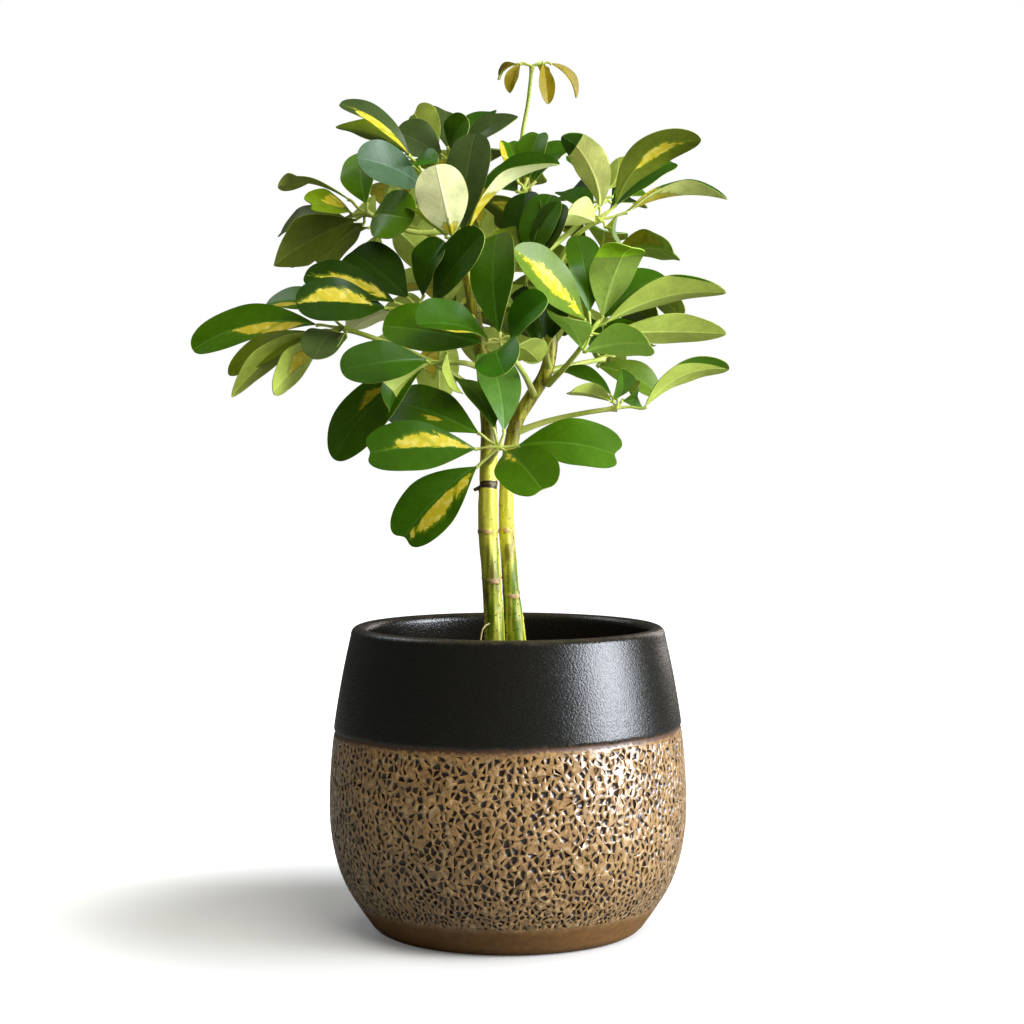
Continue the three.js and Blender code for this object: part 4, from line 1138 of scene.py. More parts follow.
def patch_field(along, aside, box):
    """How far inside a yellow patch a place lies, above 0 within it. Its edge is crisp at the midrib."""
    if box is None:
        return np.full(np.broadcast(along, aside).shape, -1.0)
    start, end, left, right = box
    share = np.clip((along - start) / (end - start), 0, 1)
    bulge = np.sin(math.pi * share ** (WEDGE_POWER if start < WEDGE_START else 1.0)) ** PATCH_BULGE
    spread = PATCH_LEAST_SPREAD + (1 - PATCH_LEAST_SPREAD) * bulge
    astride = left * right < 0 and min(-left, right) > ASTRIDE_LEAST
    root = (left + right) / 2 if astride else min(left, right, key=abs)
    soft_left, soft_right = (PATCH_EDGES[0] if edge == root else PATCH_EDGES[1] for edge in (left, right))
    left, right = (root + (edge - root) * spread for edge in (left, right))
    inside = np.minimum((along - start) / PATCH_FADES[0], (end - along) / PATCH_FADES[1])
    inside = np.minimum(inside, np.minimum((aside - left) / soft_left, (right - aside) / soft_right))
    return np.clip(inside, -1, 1)


class Foliage:
    """Gathers the blades and stalks of one compound leaf, and makes them one mesh."""

    def __init__(self):
        self.points, self.faces, self.skins, self.count = [], [], [], 0
        self.layers = {label: [] for label in ("blade", "patch", "turned", "side", "tone", "other_tone")}

    def add(self, points, faces, skin, **layers):
        """Adds some mesh: its skin's number, and in each layer a value for each of its points or faces."""
        self.faces += [tuple(k + self.count for k in face) for face in faces]
        self.points.append(points)
        self.skins += [skin] * len(faces)
        self.count += len(points)
        for label, values in layers.items():
            self.layers[label].append(values)

    def add_tube(self, path, radii, sides):
        points, faces = tube(path, radii, sides)
        plain = np.full(len(points), -1.0)
        tones = [STALK_GREEN] * len(faces)
        self.add(points, faces, STALK_SKIN, blade=np.zeros((len(points), 2)), patch=plain, turned=plain,
                 side=[UNDER] * len(faces), tone=tones, other_tone=tones)

    def add_blade(self, base, tip, up, look, chance):
        """One leaflet from base to tip, with its upper face looking up."""
        chord = tip - base
        skyward = unit(np.cross(chord, up))
        if skyward[2] < 0:
            skyward = -skyward
        rows = np.linspace(FIRST_ROW, 1, BLADE_ROWS)[:, None]
        columns = BLADE_COLUMNS[None, :]
        blunt = look["blunt"]
        aside = columns * blade_share(rows * TIP_SHOULDER, blunt)
        shoulder = np.abs(columns * blade_share(np.array(TIP_SHOULDER), blunt))
        along = rows * (WIDEST_AT + (1 - WIDEST_AT) * (1 - shoulder**blunt) ** (1 / blunt))
        along = along - look["notch"] * rows**NOTCH_POWER * bell(aside, NOTCH_SPREAD)
        bow = (4 * along * (1 - along))[..., None]
        turn = (4 * (1 - 2 * along))[..., None]
        bend = up * look["arch"] + skyward * look["rise"]
        middle = base + chord * along[..., None] + bend * bow
        onward = unit(chord + bend * turn)
        normal = unit(up - onward * (onward @ up)[..., None])
        across = np.cross(onward, normal)
        steps = np.linspace(0, 1, FOLD_STEPS)
        turning = look["fold_over"] * np.clip((steps - look["fold_at"]) / FOLD_LENGTH, 0, 1)
        ahead = np.interp(along, steps, np.cumsum(np.cos(turning)) / FOLD_STEPS)[..., None]
        away = np.interp(along, steps, np.cumsum(np.sin(turning)) / FOLD_STEPS)[..., None]
        folded = np.interp(along, steps, turning)[..., None]
        middle = middle + np.linalg.norm(chord) * (onward * (ahead - along[..., None]) - normal * away)
        normal = normal * np.cos(folded) + onward * np.sin(folded)
        beyond = along[..., None] - look["twist_from"]
        twist = chance.uniform(-TWIST, TWIST) * beyond + look["twist"] * np.maximum(beyond, 0)
        across, normal = (across * np.cos(twist) + normal * np.sin(twist),
                          normal * np.cos(twist) - across * np.sin(twist))
        width = look["width"] / 2
        lopsided = 1 + LOPSIDEDNESS * chance.uniform(-1, 1) * np.sign(columns)
        fold = look["cup"] * (np.sqrt(aside**2 + CUP_SOFTNESS) - CUP_SINKING)
        phases = np.where(columns < 0, chance.uniform(*WAVE_STARTS), chance.uniform(*WAVE_STARTS))
        waves = np.sin(2 * math.pi * chance.uniform(*WAVE_COUNTS) * along + phases)
        wave_height = WAVE_HEIGHT * width / WAVE_HALF_WIDTH
        fold = fold + wave_height * aside**2 * waves * np.sqrt(np.clip(along * 2, 0, 1))
        sheet = middle + across * (aside * width * lopsided)[..., None] + normal * fold[..., None]
        thin = BLADE_HALF_THICKNESS * (1 - MARGIN_THINNING * aside**2)
        rib = np.where(np.abs(columns) < RIB_COLUMNS, RIB_STANDS * (1 - RIB_TAPER * rows), 0)
        rib = rib * (1 - np.abs(columns) * RIB_SIDE_SLOPE)
        top = sheet + normal * (thin - rib * RIB_ABOVE)[..., None]
        bottom = sheet - normal * (thin + rib)[..., None]
        self.close_blade(top, bottom, sheet, along, aside, look, chance)

    def close_blade(self, top, bottom, sheet, along, aside, look, chance):
        """Joins the two faces of a blade round its margin and adds it, with its tones and patch."""
        height, width = along.shape
        index = np.arange(height * width).reshape(height, width)
        loop = np.concatenate([index[:, -1], index[-1, -2:0:-1], index[::-1, 0], index[0, 1:-1]])
        flat = sheet.reshape(-1, 3)
        inner = np.concatenate([index[:, -2], index[-2, -2:0:-1], index[::-1, 1], index[1, 1:-1]])
        margin = flat[loop] + unit(flat[loop] - flat[inner]) * MARGIN_BULGE
        points = np.vstack([top.reshape(-1, 3), bottom.reshape(-1, 3), margin])
        lower, edge = height * width, 2 * height * width
        corners = [index[:-1, :-1], index[:-1, 1:], index[1:, 1:], index[1:, :-1]]
        corners = np.stack(corners, -1).reshape(-1, 4).tolist()
        faces = [tuple(face) for face in corners]
        faces += [tuple(k + lower for k in reversed(face)) for face in corners]
        around = list(zip(loop.tolist(), np.roll(loop, -1).tolist()))
        for k, (here, there) in enumerate(around):
            following = (k + 1) % len(loop)
            faces.append((here + lower, there + lower, edge + following, edge + k))
            faces.append((edge + k, edge + following, there, here))
        blade_map = np.stack([along, (aside + 1) / 2], -1).reshape(-1, 2)
        shown = patch_field(along, aside, look["yellow"]).ravel()
        left, right = look["turned"]
        turned = (along - left - (right - left) * (aside + 1) / 2).ravel()
        bright = 1 + chance.uniform(-TONE_SPREAD, TONE_SPREAD)
        upper, under = (tuple(channel * bright for channel in paint(*tone)[:3]) + (1.0,)
                        for tone in (TONES[look["upper"]], UNDER_TONES[look["under"]]))
        rim = tuple(0.5 * (low + high) for low, high in zip(upper, RIM_TONE))
        count, edges = len(corners), 2 * len(loop)
        sources = np.concatenate([np.arange(lower), np.arange(lower), loop])
        self.add(points, faces, BLADE_SKIN,
                 blade=blade_map[sources], patch=shown[sources], turned=turned[sources],
                 side=[UPPER] * count + [UNDER] * count + [RIM] * edges,
                 tone=[upper] * count + [under] * count + [rim] * edges,
                 other_tone=[upper] * (2 * count) + [rim] * edges)

    def build(self, name, skin, stalk):
        piece = new_mesh(name, np.vstack(self.points), self.faces)
        for label in ("patch", "turned"):
            set_attribute(piece, label, np.concatenate(self.layers[label]))
        for label in ("side", "tone", "other_tone"):
            set_attribute(piece, label, np.concatenate(self.layers[label]), "FACE")
        corners = np.empty(len(piece.data.loops), np.int32)
        piece.data.loops.foreach_get("vertex_index", corners)
        blade_map = piece.data.uv_layers.new(name="blade")
        blade_map.data.foreach_set("uv", np.vstack(self.layers["blade"])[corners].astype(np.float32).ravel())
        piece.data.materials.append(skin)
        piece.data.materials.append(stalk)
        piece.data.polygons.foreach_set("material_index", np.array(self.skins, np.int32))
        piece.data.set_sharp_from_angle(angle=BLADE_SHARP_ANGLE)
        return piece


def compound_leaf(node, path, blades, stalk_radius, skin, seed):
    """A whole leaf: the stalk along its path, the hub at its end, and a little stalk and blade for each."""
    chance = random.Random(seed)
    leaf = Foliage()
    hub = path[-1]
    course = smooth_path(path, STALK_STOPS)
    stops = np.linspace(0, 1, STALK_STOPS)
    swell = STALK_FLARE * (1 - stops) ** 3 + (HUB_SWELL - STALK_RADIUS) * bell(1 - stops, HUB_REACH)
    leaf.add_tube(course, stalk_radius * (1 + swell / STALK_RADIUS), STALK_SIDES)
    slim = LITTLE_STALK_RADIUS * stalk_radius / STALK_RADIUS
    girth = slim * (1 + LITTLE_STALK_FLARE * np.abs(np.linspace(-1, 1, LITTLE_STALK_STOPS)) ** 3)
    for base, tip, up, look in blades:
        bend = (base + hub) / 2 + up * LITTLE_STALK_BEND * chance.uniform(-1, 1.5)
        joint = base + unit(tip - base) * LITTLE_STALK_OVERLAP
        little_stalk = smooth_path([hub, bend, base, joint], LITTLE_STALK_STOPS)
        leaf.add_tube(little_stalk, girth, LITTLE_STALK_SIDES)
        leaf.add_blade(base, tip, up, look, chance)
    piece = leaf.build(node.replace("leaf", "foliage"), skin, stalk_skin)
    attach(piece, "root")
    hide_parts(node)


def facing(base, tip, show, axis):
    """The way a leaflet's upper face looks: as much to the eye as the picture shows, the rest to the sky."""
    along = unit(tip - base)
    view = EYE - base
    view = unit(view - along * (view @ along))
    other = np.cross(along, view)
    if other @ axis < 0:
        other = -other
    return view * show + other * math.sqrt(1 - show * show)


# Leaves the picture shows
# Each has its hub's spot and depth, the spots and depths of its stalk from the cane on, and its leaflets.
# One that isn't plain also says how: the bow of its midrib (arch, rise), fold (cup), tip (blunt, notch),
# end that is turned over (fold_over, twist, turned), tones and yellow patch.
LEAF_SEED = 60
leaf_seeds = itertools.count(LEAF_SEED)


def blade(base, tip, reach, width, show, **look):
    """One leaflet: the spots where its blade starts and ends, how far back the tip lies from the base, its
    full width, and how much of its upper face is seen, 1 for all and -1 for only the underside."""
    return {**PLAIN_BLADE, "base": base, "tip": tip, "reach": reach, "width": width, "show": show, **look}


def pictured_leaf(node, hub_spot, depth, stalk, leaflets, stalk_radius=STALK_RADIUS, skin=leaf_skin):
    """A whole leaf of the picture, drawn with the next seed."""
    hub = spot(hub_spot, depth)
    path = [spot(pixel, distance) for pixel, distance in stalk] + [hub]
    axis = unit(unit(hub - path[0]) + SKYWARD_LEAN * SKY)
    blades = []
    for look in leaflets:
        base = spot(look["base"], depth)
        tip = spot(look["tip"], depth + look["reach"])
        blades.append((base, tip, facing(base, tip, look["show"], axis), look))
    compound_leaf(node, path, blades, stalk_radius, skin, next(leaf_seeds))


pictured_leaf("leaf_low_front", (499, 447), -0.05, [((489, 462), 0.001), ((493, 456), -0.025)], [
    blade((478, 466), (401, 543), -0.01, 0.0275, 0.95, arch=0.003, rise=0.002, notch=0.06, upper="deep",
          yellow=(0.0, 0.92, -0.58, -0.08)),
    blade((477, 449), (364, 453), -0.016, 0.026, 0.9, notch=0.05, upper="deep",
          yellow=(0.0, 0.78, 0.0, 0.56)),
    blade((480, 434), (391, 402), 0.034, 0.027, 0.85, yellow=(0.34, 0.56, -0.34, -0.16)),
    blade((504, 432), (488, 355), 0.024, 0.023, 0.85, upper="mint"),
    blade((494, 430), (460, 379), 0.034, 0.022, 0.6, upper="deep"),
    blade((517, 446), (622, 457), -0.006, 0.025, 0.9, arch=0.005, rise=0.002, notch=0.07),
    blade((506, 451), (545, 493), -0.04, 0.029, 0.95, notch=0.05, yellow=(0.1, 0.44, 0.04, 0.22)),
])
pictured_leaf("leaf_mid_left", (440, 362), -0.038, [((483, 368), 0.003), ((464, 363), -0.018)], [
    blade((428, 361), (341, 370), -0.02, 0.022, 0.9, arch=0.003, upper="deep"),
    blade((425, 366), (334, 459), 0.01, 0.026, 0.92, arch=0.005, rise=0.003, blunt=1.9,
          yellow=(0.32, 0.60, 0.15, 0.55)),
    blade((430, 362), (379, 409), -0.014, 0.014, -0.72, arch=0.003, fold_at=0.66, fold_over=0.5,
          turned=(0.70, 0.62), upper="deep"),
    blade((447, 352), (462, 393), -0.006, 0.014, -0.3, arch=0.002),
])
pictured_leaf("leaf_centre_front", (501, 342), -0.08, [((534, 395), 0.008), ((524, 374), -0.034)], [
    blade((489, 340), (417, 325), -0.028, 0.024, 0.58, cup=0.006, upper="deep",
          yellow=(0.0, 0.80, -1.25, -0.80)),
    blade((484, 343), (383, 326), -0.002, 0.024, 0.9, arch=0.003),
    blade((502, 350), (505, 374), -0.034, 0.023, 0.9, arch=0.005, upper="fresh"),
    blade((511, 342), (548, 299), -0.018, 0.0185, 0.7, arch=0.003, cup=0.005, upper="fresh"),
    blade((511, 336), (529, 302), 0.014, 0.02, 0.3, arch=0.003, upper="olive"),
    blade((500, 335), (497, 235), 0.03, 0.024, 0.9, arch=0.005, upper="deep"),
    blade((510, 350), (538, 361), 0.03, 0.018, -0.6),
])
pictured_leaf("leaf_upper_centre", (457, 241), -0.042, [((466, 268), 0.006), ((462, 254), -0.016)], [
    blade((453, 238), (436, 165), -0.018, 0.0248, -1.0, arch=-0.003, under="cream",
          yellow=(0.0, 0.26, -0.3, 0.3)),
    blade((463, 234), (475, 134), 0.012, 0.023, 0.9, arch=0.003, upper="grey"),
    blade((466, 236), (560, 165), -0.008, 0.022, 0.2, arch=0.007, rise=0.004, cup=0.009, blunt=1.7,
          upper="deep", under="cream", yellow=(0.0, 0.45, -0.7, 0.7)),
    blade((447, 238), (415, 209), 0.03, 0.022, 0.6, upper="olive"),
])
pictured_leaf("leaf_left_centre", (418, 308), -0.038, [((474, 318), 0.004), ((446, 312), -0.02)], [
    blade((423, 297), (444, 241), -0.008, 0.022, 0.6, arch=0.003, cup=0.004, upper="deep"),
    blade((433, 303), (484, 234), -0.03, 0.023, 0.75, arch=0.003, cup=0.003, upper="deep"),
    blade((409, 299), (352, 252), 0.022, 0.027, 0.9, arch=0.003, upper="shade"),
    blade((396, 303), (305, 275), 0.002, 0.022, 0.75, upper="shade", yellow=(0.12, 0.86, -0.30, 0.35)),
    blade((386, 308), (296, 303), -0.022, 0.023, 0.88, upper="shade", yellow=(0.20, 0.95, -0.02, 0.60)),
    blade((398, 313), (352, 329), 0.034, 0.018, -0.5, arch=0.003, under="cream"),
])
pictured_leaf("leaf_far_left", (344, 328), -0.028,
              [((486, 397), 0.003), ((430, 361), -0.014), ((385, 342), -0.026)], [
    blade((318, 325), (193, 350), 0.002, 0.021, 0.85, arch=0.003, rise=0.006,
          yellow=(0.10, 0.66, -0.75, -0.06)),
    blade((319, 333), (229, 375), -0.014, 0.0155, 0.8, rise=0.002, blunt=1.8, upper="olive"),
    blade((321, 331), (232, 397), -0.024, 0.0155, -0.75, arch=0.003, rise=0.003, blunt=1.4),
    blade((329, 333), (273, 391), -0.034, 0.019, -0.75, arch=0.003, rise=-0.002, blunt=1.7,
          yellow=(0.1, 0.66, -0.5, 0.35)),
    blade((337, 333), (314, 359), -0.042, 0.02, 0.85, upper="grey"),
    blade((346, 337), (332, 352), -0.034, 0.014, 0.4, arch=0.003, yellow=(0.1, 0.9, -0.6, 0.6)),
    blade((331, 316), (266, 305), 0.03, 0.02, 0.6, arch=0.003, rise=0.004, yellow=(0.45, 0.9, -0.9, -0.25)),
])
pictured_leaf("leaf_left_high", (366, 213), -0.004, [((459, 230), 0.008), ((415, 232), 0.004)], [
    blade((350, 200), (278, 187), 0.024, 0.0105, -0.2, rise=0.004, twist=-3.2, twist_from=0.62,
          upper="bright"),
    blade((352, 214), (305, 206), -0.034, 0.016, 0.6, notch=0.10, upper="lime", yellow=(0.2, 0.7, -0.3, 0.7)),
    blade((367, 205), (362, 152), 0.022, 0.0225, 0.85, arch=0.003, upper="leafy"),
    blade((348, 219), (281, 233), 0.026, 0.018, 0.6, arch=0.005, upper="olive"),
    blade((357, 219), (274, 266), -0.014, 0.027, -0.85, blunt=1.15, under="olive"),
    blade((364, 223), (322, 266), 0.01, 0.024, -0.7, under="olive"),
    blade((373, 217), (413, 220), -0.026, 0.027, 0.9, upper="leafy"),
])
pictured_leaf("leaf_upper_left", (424, 176), -0.012, [((456, 207), 0.009), ((440, 192), 0.0)], [
    blade((422, 187), (357, 158), -0.03, 0.023, 0.8, upper="slate"),
    blade((410, 157), (340, 104), -0.008, 0.015, 0.60, arch=0.006, upper="grey",
          yellow=(0.0, 0.84, -1.3, -0.05)),
    blade((408, 154), (336, 127), 0.008, 0.020, 0.5, blunt=1.4, upper="olive"),
    blade((412, 165), (438, 162), -0.024, 0.013, 0.55, arch=0.002, blunt=1.4, upper="fresh"),
])
pictured_leaf("leaf_top", (449, 160), 0.018, [((451, 175), 0.014)], [
    blade((443, 159), (396, 132), -0.002, 0.021, 0.85, arch=0.003, upper="grey"),
    blade((438, 152), (412, 110), 0.014, 0.022, -0.85, arch=0.0, notch=0.09),
    blade((448, 149), (445, 111), 0.024, 0.023, 0.9, arch=0.001, upper="grey"),
    blade((451, 151), (468, 119), -0.016, 0.017, 0.7, arch=0.003),
    blade((455, 152), (490, 112), 0.02, 0.02, 0.6, arch=0.003, upper="deep"),
    blade((460, 155), (518, 117), -0.004, 0.018, 0.6, blunt=1.4, upper="grey"),
])
pictured_leaf("leaf_young", (532, 66), 0.01,
              [((525, 178), 0.014), ((522, 140), 0.014), ((528, 102), 0.012)], [
    blade((521, 63), (510, 93), -0.005, 0.0072, 0.9, arch=0.001, rise=0.001, blunt=1.6, upper="bronze"),
    blade((543, 62), (548, 104), -0.006, 0.0082, 0.95, arch=0.001, blunt=1.8, upper="bronze"),
    blade((550, 63), (576, 98), 0.005, 0.0075, 0.5, arch=0.002, rise=0.003, blunt=1.4, upper="bronze"),
    blade((517, 64), (500, 79), 0.008, 0.007, 0.4, arch=0.002, upper="bronze"),
    blade((537, 64), (545, 80), 0.012, 0.007, 0.7, arch=0.001, upper="bronze"),
], stalk_radius=YOUNG_STALK_RADIUS, skin=young_skin)
pictured_leaf("leaf_top_centre", (524, 190), -0.006, [((529, 200), 0.012)], [
    blade((518, 182), (507, 141), 0.008, 0.015, 0.85, arch=0.002, notch=0.06,
          yellow=(0.05, 0.95, -1.1, -0.5)),
    blade((527, 180), (540, 132), 0.006, 0.017, 0.85, arch=0.002, notch=0.05),
    blade((534, 183), (572, 147), 0.008, 0.018, 0.6, arch=0.003, rise=0.003, upper="deep"),
    blade((518, 192), (492, 186), 0.03, 0.018, 0.6, arch=0.003, upper="deep"),
])
pictured_leaf("leaf_right_high", (600, 219), -0.008,
              [((549, 312), 0.008), ((560, 262), 0.002), ((577, 235), -0.005)], [
    blade((600, 209), (564, 132), -0.014, 0.0185, -0.92, arch=-0.003, rise=0.006, fold_at=0.76, fold_over=0.7,
          turned=(0.86, 0.76), blunt=1.7, upper="deep", under="light"),
    blade((615, 206), (701, 140), -0.008, 0.020, -0.85, arch=0.005, rise=0.008, blunt=1.8,
          turned=(1.16, 0.86), upper="deep", under="olive", yellow=(0.36, 0.86, -0.28, 0.26)),
    blade((609, 211), (673, 163), 0.026, 0.018, 0.7, upper="deep"),
    blade((625, 213), (727, 200), -0.004, 0.019, 0.05, arch=0.005, rise=0.003, cup=0.008, blunt=1.5,
          upper="deep", under="light", yellow=(0.0, 0.56, -0.7, 0.5)),
    blade((593, 213), (563, 192), 0.03, 0.016, 0.7, arch=0.002, upper="deep"),
    blade((596, 222), (567, 214), -0.018, 0.019, -0.85, arch=0.002, under="light"),
    blade((605, 227), (612, 234), -0.032, 0.014, -0.6, arch=0.003),
])
pictured_leaf("leaf_right_high_back", (604, 200), 0.042, [((541, 255), 0.01), ((577, 226), 0.028)], [
    blade((605, 190), (618, 158), 0.02, 0.022, -0.6),
    blade((612, 197), (648, 196), 0.022, 0.02, 0.5),
    blade((611, 203), (634, 204), 0.038, 0.02, 0.5),
    blade((597, 192), (580, 160), 0.03, 0.022, 0.8, upper="deep"),
    blade((594, 202), (566, 196), 0.036, 0.02, 0.7, upper="deep"),
])
pictured_leaf("leaf_inner_centre", (529, 275), -0.036, [((545, 282), 0.008), ((538, 280), -0.016)], [
    blade((522, 268), (504, 229), 0.006, 0.02, 0.85, arch=0.002, upper="olive"),
    blade((526, 263), (526, 193), 0.014, 0.022, 0.85, arch=0.002, upper="shade"),
    blade((530, 264), (551, 195), 0.004, 0.021, 0.85, arch=0.003, upper="deep"),
    blade((536, 266), (563, 204), -0.002, 0.018, 0.8, arch=0.003, upper="shade"),
    blade((526, 284), (530, 306), 0.01, 0.016, 0.8, arch=0.002, upper="shade"),
])
pictured_leaf("leaf_inner_low", (546, 350), -0.014, [((549, 368), 0.008)], [
    blade((543, 340), (532, 294), -0.002, 0.018, 0.8, arch=0.002, upper="shade"),
    blade((551, 340), (563, 300), 0.002, 0.018, 0.8, arch=0.002, upper="shade"),
    blade((540, 346), (523, 322), -0.024, 0.015, 0.5, arch=0.002, upper="shade"),
])
pictured_leaf("leaf_right_mid", (590, 333), -0.024,
              [((548, 384), 0.008), ((566, 366), -0.008), ((582, 346), -0.018)], [
    blade((585, 320), (514, 249), -0.038, 0.025, 0.75, arch=0.003, cup=0.003, blunt=1.9, upper="sage",
          yellow=(0.04, 0.9, -0.42, 0.3)),
    blade((589, 314), (577, 236), 0.008, 0.019, 0.9, arch=0.003),
    blade((602, 318), (631, 240), -0.012, 0.025, -0.88, fold_at=0.76, fold_over=0.6, turned=(0.86, 0.66),
          blunt=2.8, upper="bright", under="fresh"),
    blade((599, 321), (664, 276), 0.024, 0.022, 0.8, upper="deep"),
    blade((604, 324), (726, 293), 0.002, 0.021, -0.62, rise=0.004, cup=0.004, blunt=1.5, turned=(1.9, 0.56)),
    blade((604, 335), (726, 334), 0.016, 0.020, -0.75, arch=0.002, blunt=1.6),
    blade((584, 352), (650, 345), -0.026, 0.021, -0.8, under="spring"),
    blade((581, 348), (558, 316), -0.03, 0.022, -0.6, arch=0.003, under="spring"),
    blade((585, 331), (566, 308), 0.032, 0.018, -0.7, arch=0.003),
])
pictured_leaf("leaf_right_inner", (603, 359), 0.038, [((549, 371), 0.01), ((578, 364), 0.022)], [
    blade((597, 366), (657, 393), -0.003, 0.019, 0.75, upper="sage"),
    blade((613, 356), (648, 346), 0.03, 0.018, 0.5, upper="deep"),
    blade((610, 350), (634, 322), 0.014, 0.02, 0.7, upper="deep"),
    blade((596, 351), (572, 325), 0.012, 0.02, 0.7, upper="shade"),
])
pictured_leaf("leaf_right_low", (617, 408), 0.004,
              [((514, 433), 0.008), ((548, 421), 0.007), ((584, 413), 0.005)], [
    blade((644, 408), (729, 369), 0.002, 0.017, -0.6, rise=0.006, blunt=2.0, turned=(1.50, 0.46)),
    blade((613, 402), (571, 392), -0.03, 0.012, -0.6, arch=0.002),
    blade((612, 396), (563, 371), 0.006, 0.018, 0.35, arch=0.003, upper="deep"),
    blade((617, 398), (621, 368), -0.028, 0.014, 0.7, arch=0.003, blunt=1.3),
    blade((622, 401), (629, 390), 0.01, 0.014, 0.5, arch=0.006),
])

# Leaves on the far side
# The picture hides them, so they follow the plant's own rule: a rising stalk and seven leaflets spread like
# the ribs of an umbrella, drooping a little, each drawn with a fixed seed.
FAR_LEAVES = {
    "leaf_back_low_left": {"cane": "stem_left", "height": 0.285, "heading": 115, "rise": 25, "stalk": 0.050},
    "leaf_back_low_right": {"cane": "stem_right", "height": 0.301, "heading": 73, "rise": 22, "stalk": 0.052},
    "leaf_back_mid": {"cane": "stem_left", "height": 0.308, "heading": 84, "rise": 13, "stalk": 0.079},
    "leaf_back_left": {"cane": "stem_left", "height": 0.336, "heading": 134, "rise": 20, "stalk": 0.064},
    "leaf_back_right": {"cane": "stem_right", "height": 0.328, "heading": 59, "rise": 12, "stalk": 0.057},
    "leaf_back_high": {"cane": "stem_left", "height": 0.352, "heading": 89, "rise": 23, "stalk": 0.062},
}
FAR_LEAFLETS = 7
FAR_SEED = 41
FAR_STALK_GAP = 0.009
FAR_STALK_BEND = 0.004
FAR_OUTWARD_LEAN = 0.75
FAR_ANGLE_SPREAD = 0.5
FAR_DROOP = (4, 22)
FAR_LENGTH = (0.0357, 0.0126)
FAR_WIDTH = (0.0198, 0.0044)
FAR_ARCH = (0.003, 0.003)
FAR_PATCHES = [
    None, (0.05, 0.7, -0.9, -0.1), None, (0.3, 0.9, 0.1, 0.8), (0.1, 0.5, -0.4, 0.5), None,
    (0.0, 0.85, 0.2, 1.0),
]
FAR_NOTCHES = (0, 0, 0.04, 0.06)
FAR_TONES = ("deep", "mid", "mid", "olive", "fresh")
FAR_UNDER_TONES = ("pale", "olive", "pale")
DRAW_FACTOR = 16807
DRAW_MODULUS = 2147483647


def draws(seed):
    """Seeded draws between 0 and 1."""
    state = seed
    while True:
        state = state * DRAW_FACTOR % DRAW_MODULUS
        yield state / DRAW_MODULUS


for number, (node, leaf) in enumerate(FAR_LEAVES.items()):
    draw = draws(FAR_SEED + number)
    chance = random.Random(FAR_SEED + number)
    cane_path = cane_paths[leaf["cane"]]
    foot = np.array([np.interp(leaf["height"], cane_path[:, 2], cane_path[:, k]) for k in range(3)])
    heading, rise = math.radians(leaf["heading"]), math.radians(leaf["rise"])
    out = np.array([math.cos(heading), math.sin(heading), 0])
    hub = foot + leaf["stalk"] * (out * math.cos(rise) + SKY * math.sin(rise))
    bend = (foot + hub) / 2 + SKY * FAR_STALK_BEND
    axis = unit(FAR_OUTWARD_LEAN * out + SKY)
    first = unit(out - axis * (out @ axis))
    second = np.cross(axis, first)
    blades = []
    for k in range(FAR_LEAFLETS):
        angle = (k + FAR_ANGLE_SPREAD * (next(draw) - 0.5)) / FAR_LEAFLETS * 2 * math.pi
        droop = math.radians(FAR_DROOP[0] + FAR_DROOP[1] * next(draw))
        spread = first * math.cos(angle) + second * math.sin(angle)
        along = spread * math.cos(droop) - axis * math.sin(droop)
        base = hub + spread * FAR_STALK_GAP
        tip = base + along * (FAR_LENGTH[0] + FAR_LENGTH[1] * next(draw))
        up = unit(axis - along * (axis @ along))
        look = {**PLAIN_BLADE, "width": FAR_WIDTH[0] + FAR_WIDTH[1] * next(draw)}
        look.update(arch=FAR_ARCH[0] + FAR_ARCH[1] * next(draw), notch=chance.choice(FAR_NOTCHES),
                    upper=chance.choice(FAR_TONES), under=chance.choice(FAR_UNDER_TONES),
                    yellow=chance.choice(FAR_PATCHES))
        blades.append((base, tip, up, look))
    compound_leaf(node, [foot, bend, hub], blades, STALK_RADIUS, leaf_skin, FAR_SEED + number)

# Floor and light
# A plain pale floor that the pot stands on and that runs on into the pale surround, one broad soft window
# light from the right and a little in front, and weak fills. To the camera alone the floor shows a paler
# colour than the light it bounces, and a glow of painted light that is weakest round a spot left of the pot,
# leaving painted shade there.
FLOOR_REACH = 6.0
PAINTED_GLOW_START = 0.09
PAINTED_GLOW_FULL = 0.27
FLOOR_LEAST_PAINTED_GLOW = 0.10
PAINTED_SHADE_MIDDLE = (-0.07, 0.0, 0.0)
SURROUND_SEEN = 1.0
SURROUND_LIGHT = 0.06
SURROUND_GLOSS = 0.07
FLOOR_SEEN_PAINTED_PALER = paint(226, 226, 226)
FLOOR_BOUNCE = paint(128, 128, 124)
FLOOR_ROUGHNESS = 0.9
LIGHTS_AIM = Vector((0, 0, 0.16))
floor_data = bpy.data.meshes.new("floor")
floor_sides = [(-1, -1), (1, -1), (1, 1), (-1, 1)]
floor_corners = [(side * FLOOR_REACH, way * FLOOR_REACH, 0) for side, way in floor_sides]
floor_data.from_pydata(floor_corners, [], [(0, 1, 2, 3)])
floor = bpy.data.objects.new("floor", floor_data)
bpy.context.scene.collection.objects.link(floor)
glowing_paper, tree = new_material("pale_paper_painted_glow")
distance = wire(tree, "ShaderNodeVectorMath", {0: place_on(tree), 1: PAINTED_SHADE_MIDDLE}, operation="DISTANCE")
looked_at = wire(tree, "ShaderNodeLightPath")["Is Camera Ray"]
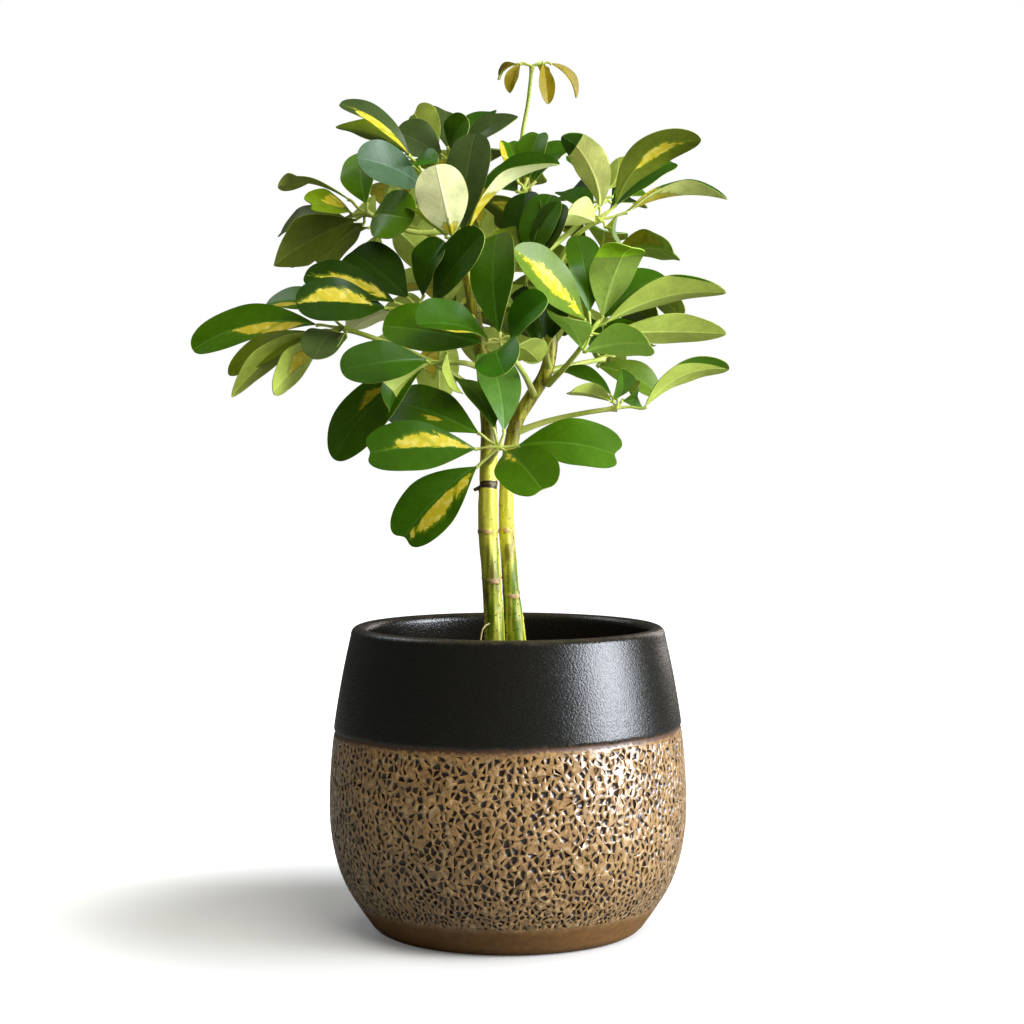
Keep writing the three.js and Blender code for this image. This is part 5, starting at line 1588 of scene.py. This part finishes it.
# Painted light and shade: the camera-only glow is weakest near a spot left of the pot, painting a shadow
# there, and full far off.
lift = between(fade(distance["Value"], PAINTED_GLOW_START, PAINTED_GLOW_FULL), FLOOR_LEAST_PAINTED_GLOW, 1.0) * looked_at
painted_glow_colour = wire(tree, "ShaderNodeCombineColor", {0: lift, 1: lift, 2: lift})
fixed = {"Emission Color": painted_glow_colour, "Emission Strength": 1.0, "Specular IOR Level": 0.0}
surface(tree, blend(looked_at, FLOOR_BOUNCE, FLOOR_SEEN_PAINTED_PALER), FLOOR_ROUGHNESS, fixed=fixed)
floor.data.materials.append(glowing_paper)


def soft_light(name, azimuth, elevation, distance, size, power, colour=(1, 1, 1), mirrored=True):
    """A soft rectangular light that looks at the plant; azimuth 0 is in front, 90 to the right."""
    turn, climb = math.radians(azimuth), math.radians(elevation)
    data = bpy.data.lights.new(name, "AREA")
    data.shape = "RECTANGLE"
    data.size, data.size_y = size
    data.energy = power
    data.color = colour
    light = bpy.data.objects.new(name, data)
    way = Vector((math.sin(turn) * math.cos(climb), -math.cos(turn) * math.cos(climb), math.sin(climb)))
    light.location = LIGHTS_AIM + way * distance
    light.rotation_euler = way.to_track_quat("Z", "Y").to_euler()
    light.visible_glossy = mirrored
    bpy.context.scene.collection.objects.link(light)


soft_light("window", 73, 14, 1.5, (0.84, 0.95), 41, (0.87, 0.91, 1.0))
soft_light("side_glow", 150, 12, 1.8, (0.5, 0.9), 3.5, (1.0, 0.90, 0.85))
soft_light("front_fill", 32, 42, 2.2, (1.6, 1.2), 28, (1, 0.98, 0.88), mirrored=False)
soft_light("sky_fill", 10, 80, 2.0, (1.6, 1.6), 19, (1, 0.98, 0.88), mirrored=False)
soft_light("back_sheen", -125, 44, 2.0, (0.9, 0.7), 5, (0.88, 0.94, 1.0))
world = bpy.data.worlds.new("pale_surround")
world.use_nodes = True
world.node_tree.nodes.clear()
seen = wire(world.node_tree, "ShaderNodeLightPath")
strength = between(seen["Is Glossy Ray"], SURROUND_LIGHT, SURROUND_GLOSS)
strength = between(seen["Is Camera Ray"], strength, SURROUND_SEEN)
glow = wire(world.node_tree, "ShaderNodeBackground", {"Color": (1, 1, 1, 1), "Strength": strength})
wire(world.node_tree, "ShaderNodeOutputWorld", {"Surface": glow})
bpy.context.scene.world = world
bpy.context.scene.view_settings.view_transform = "Standard"
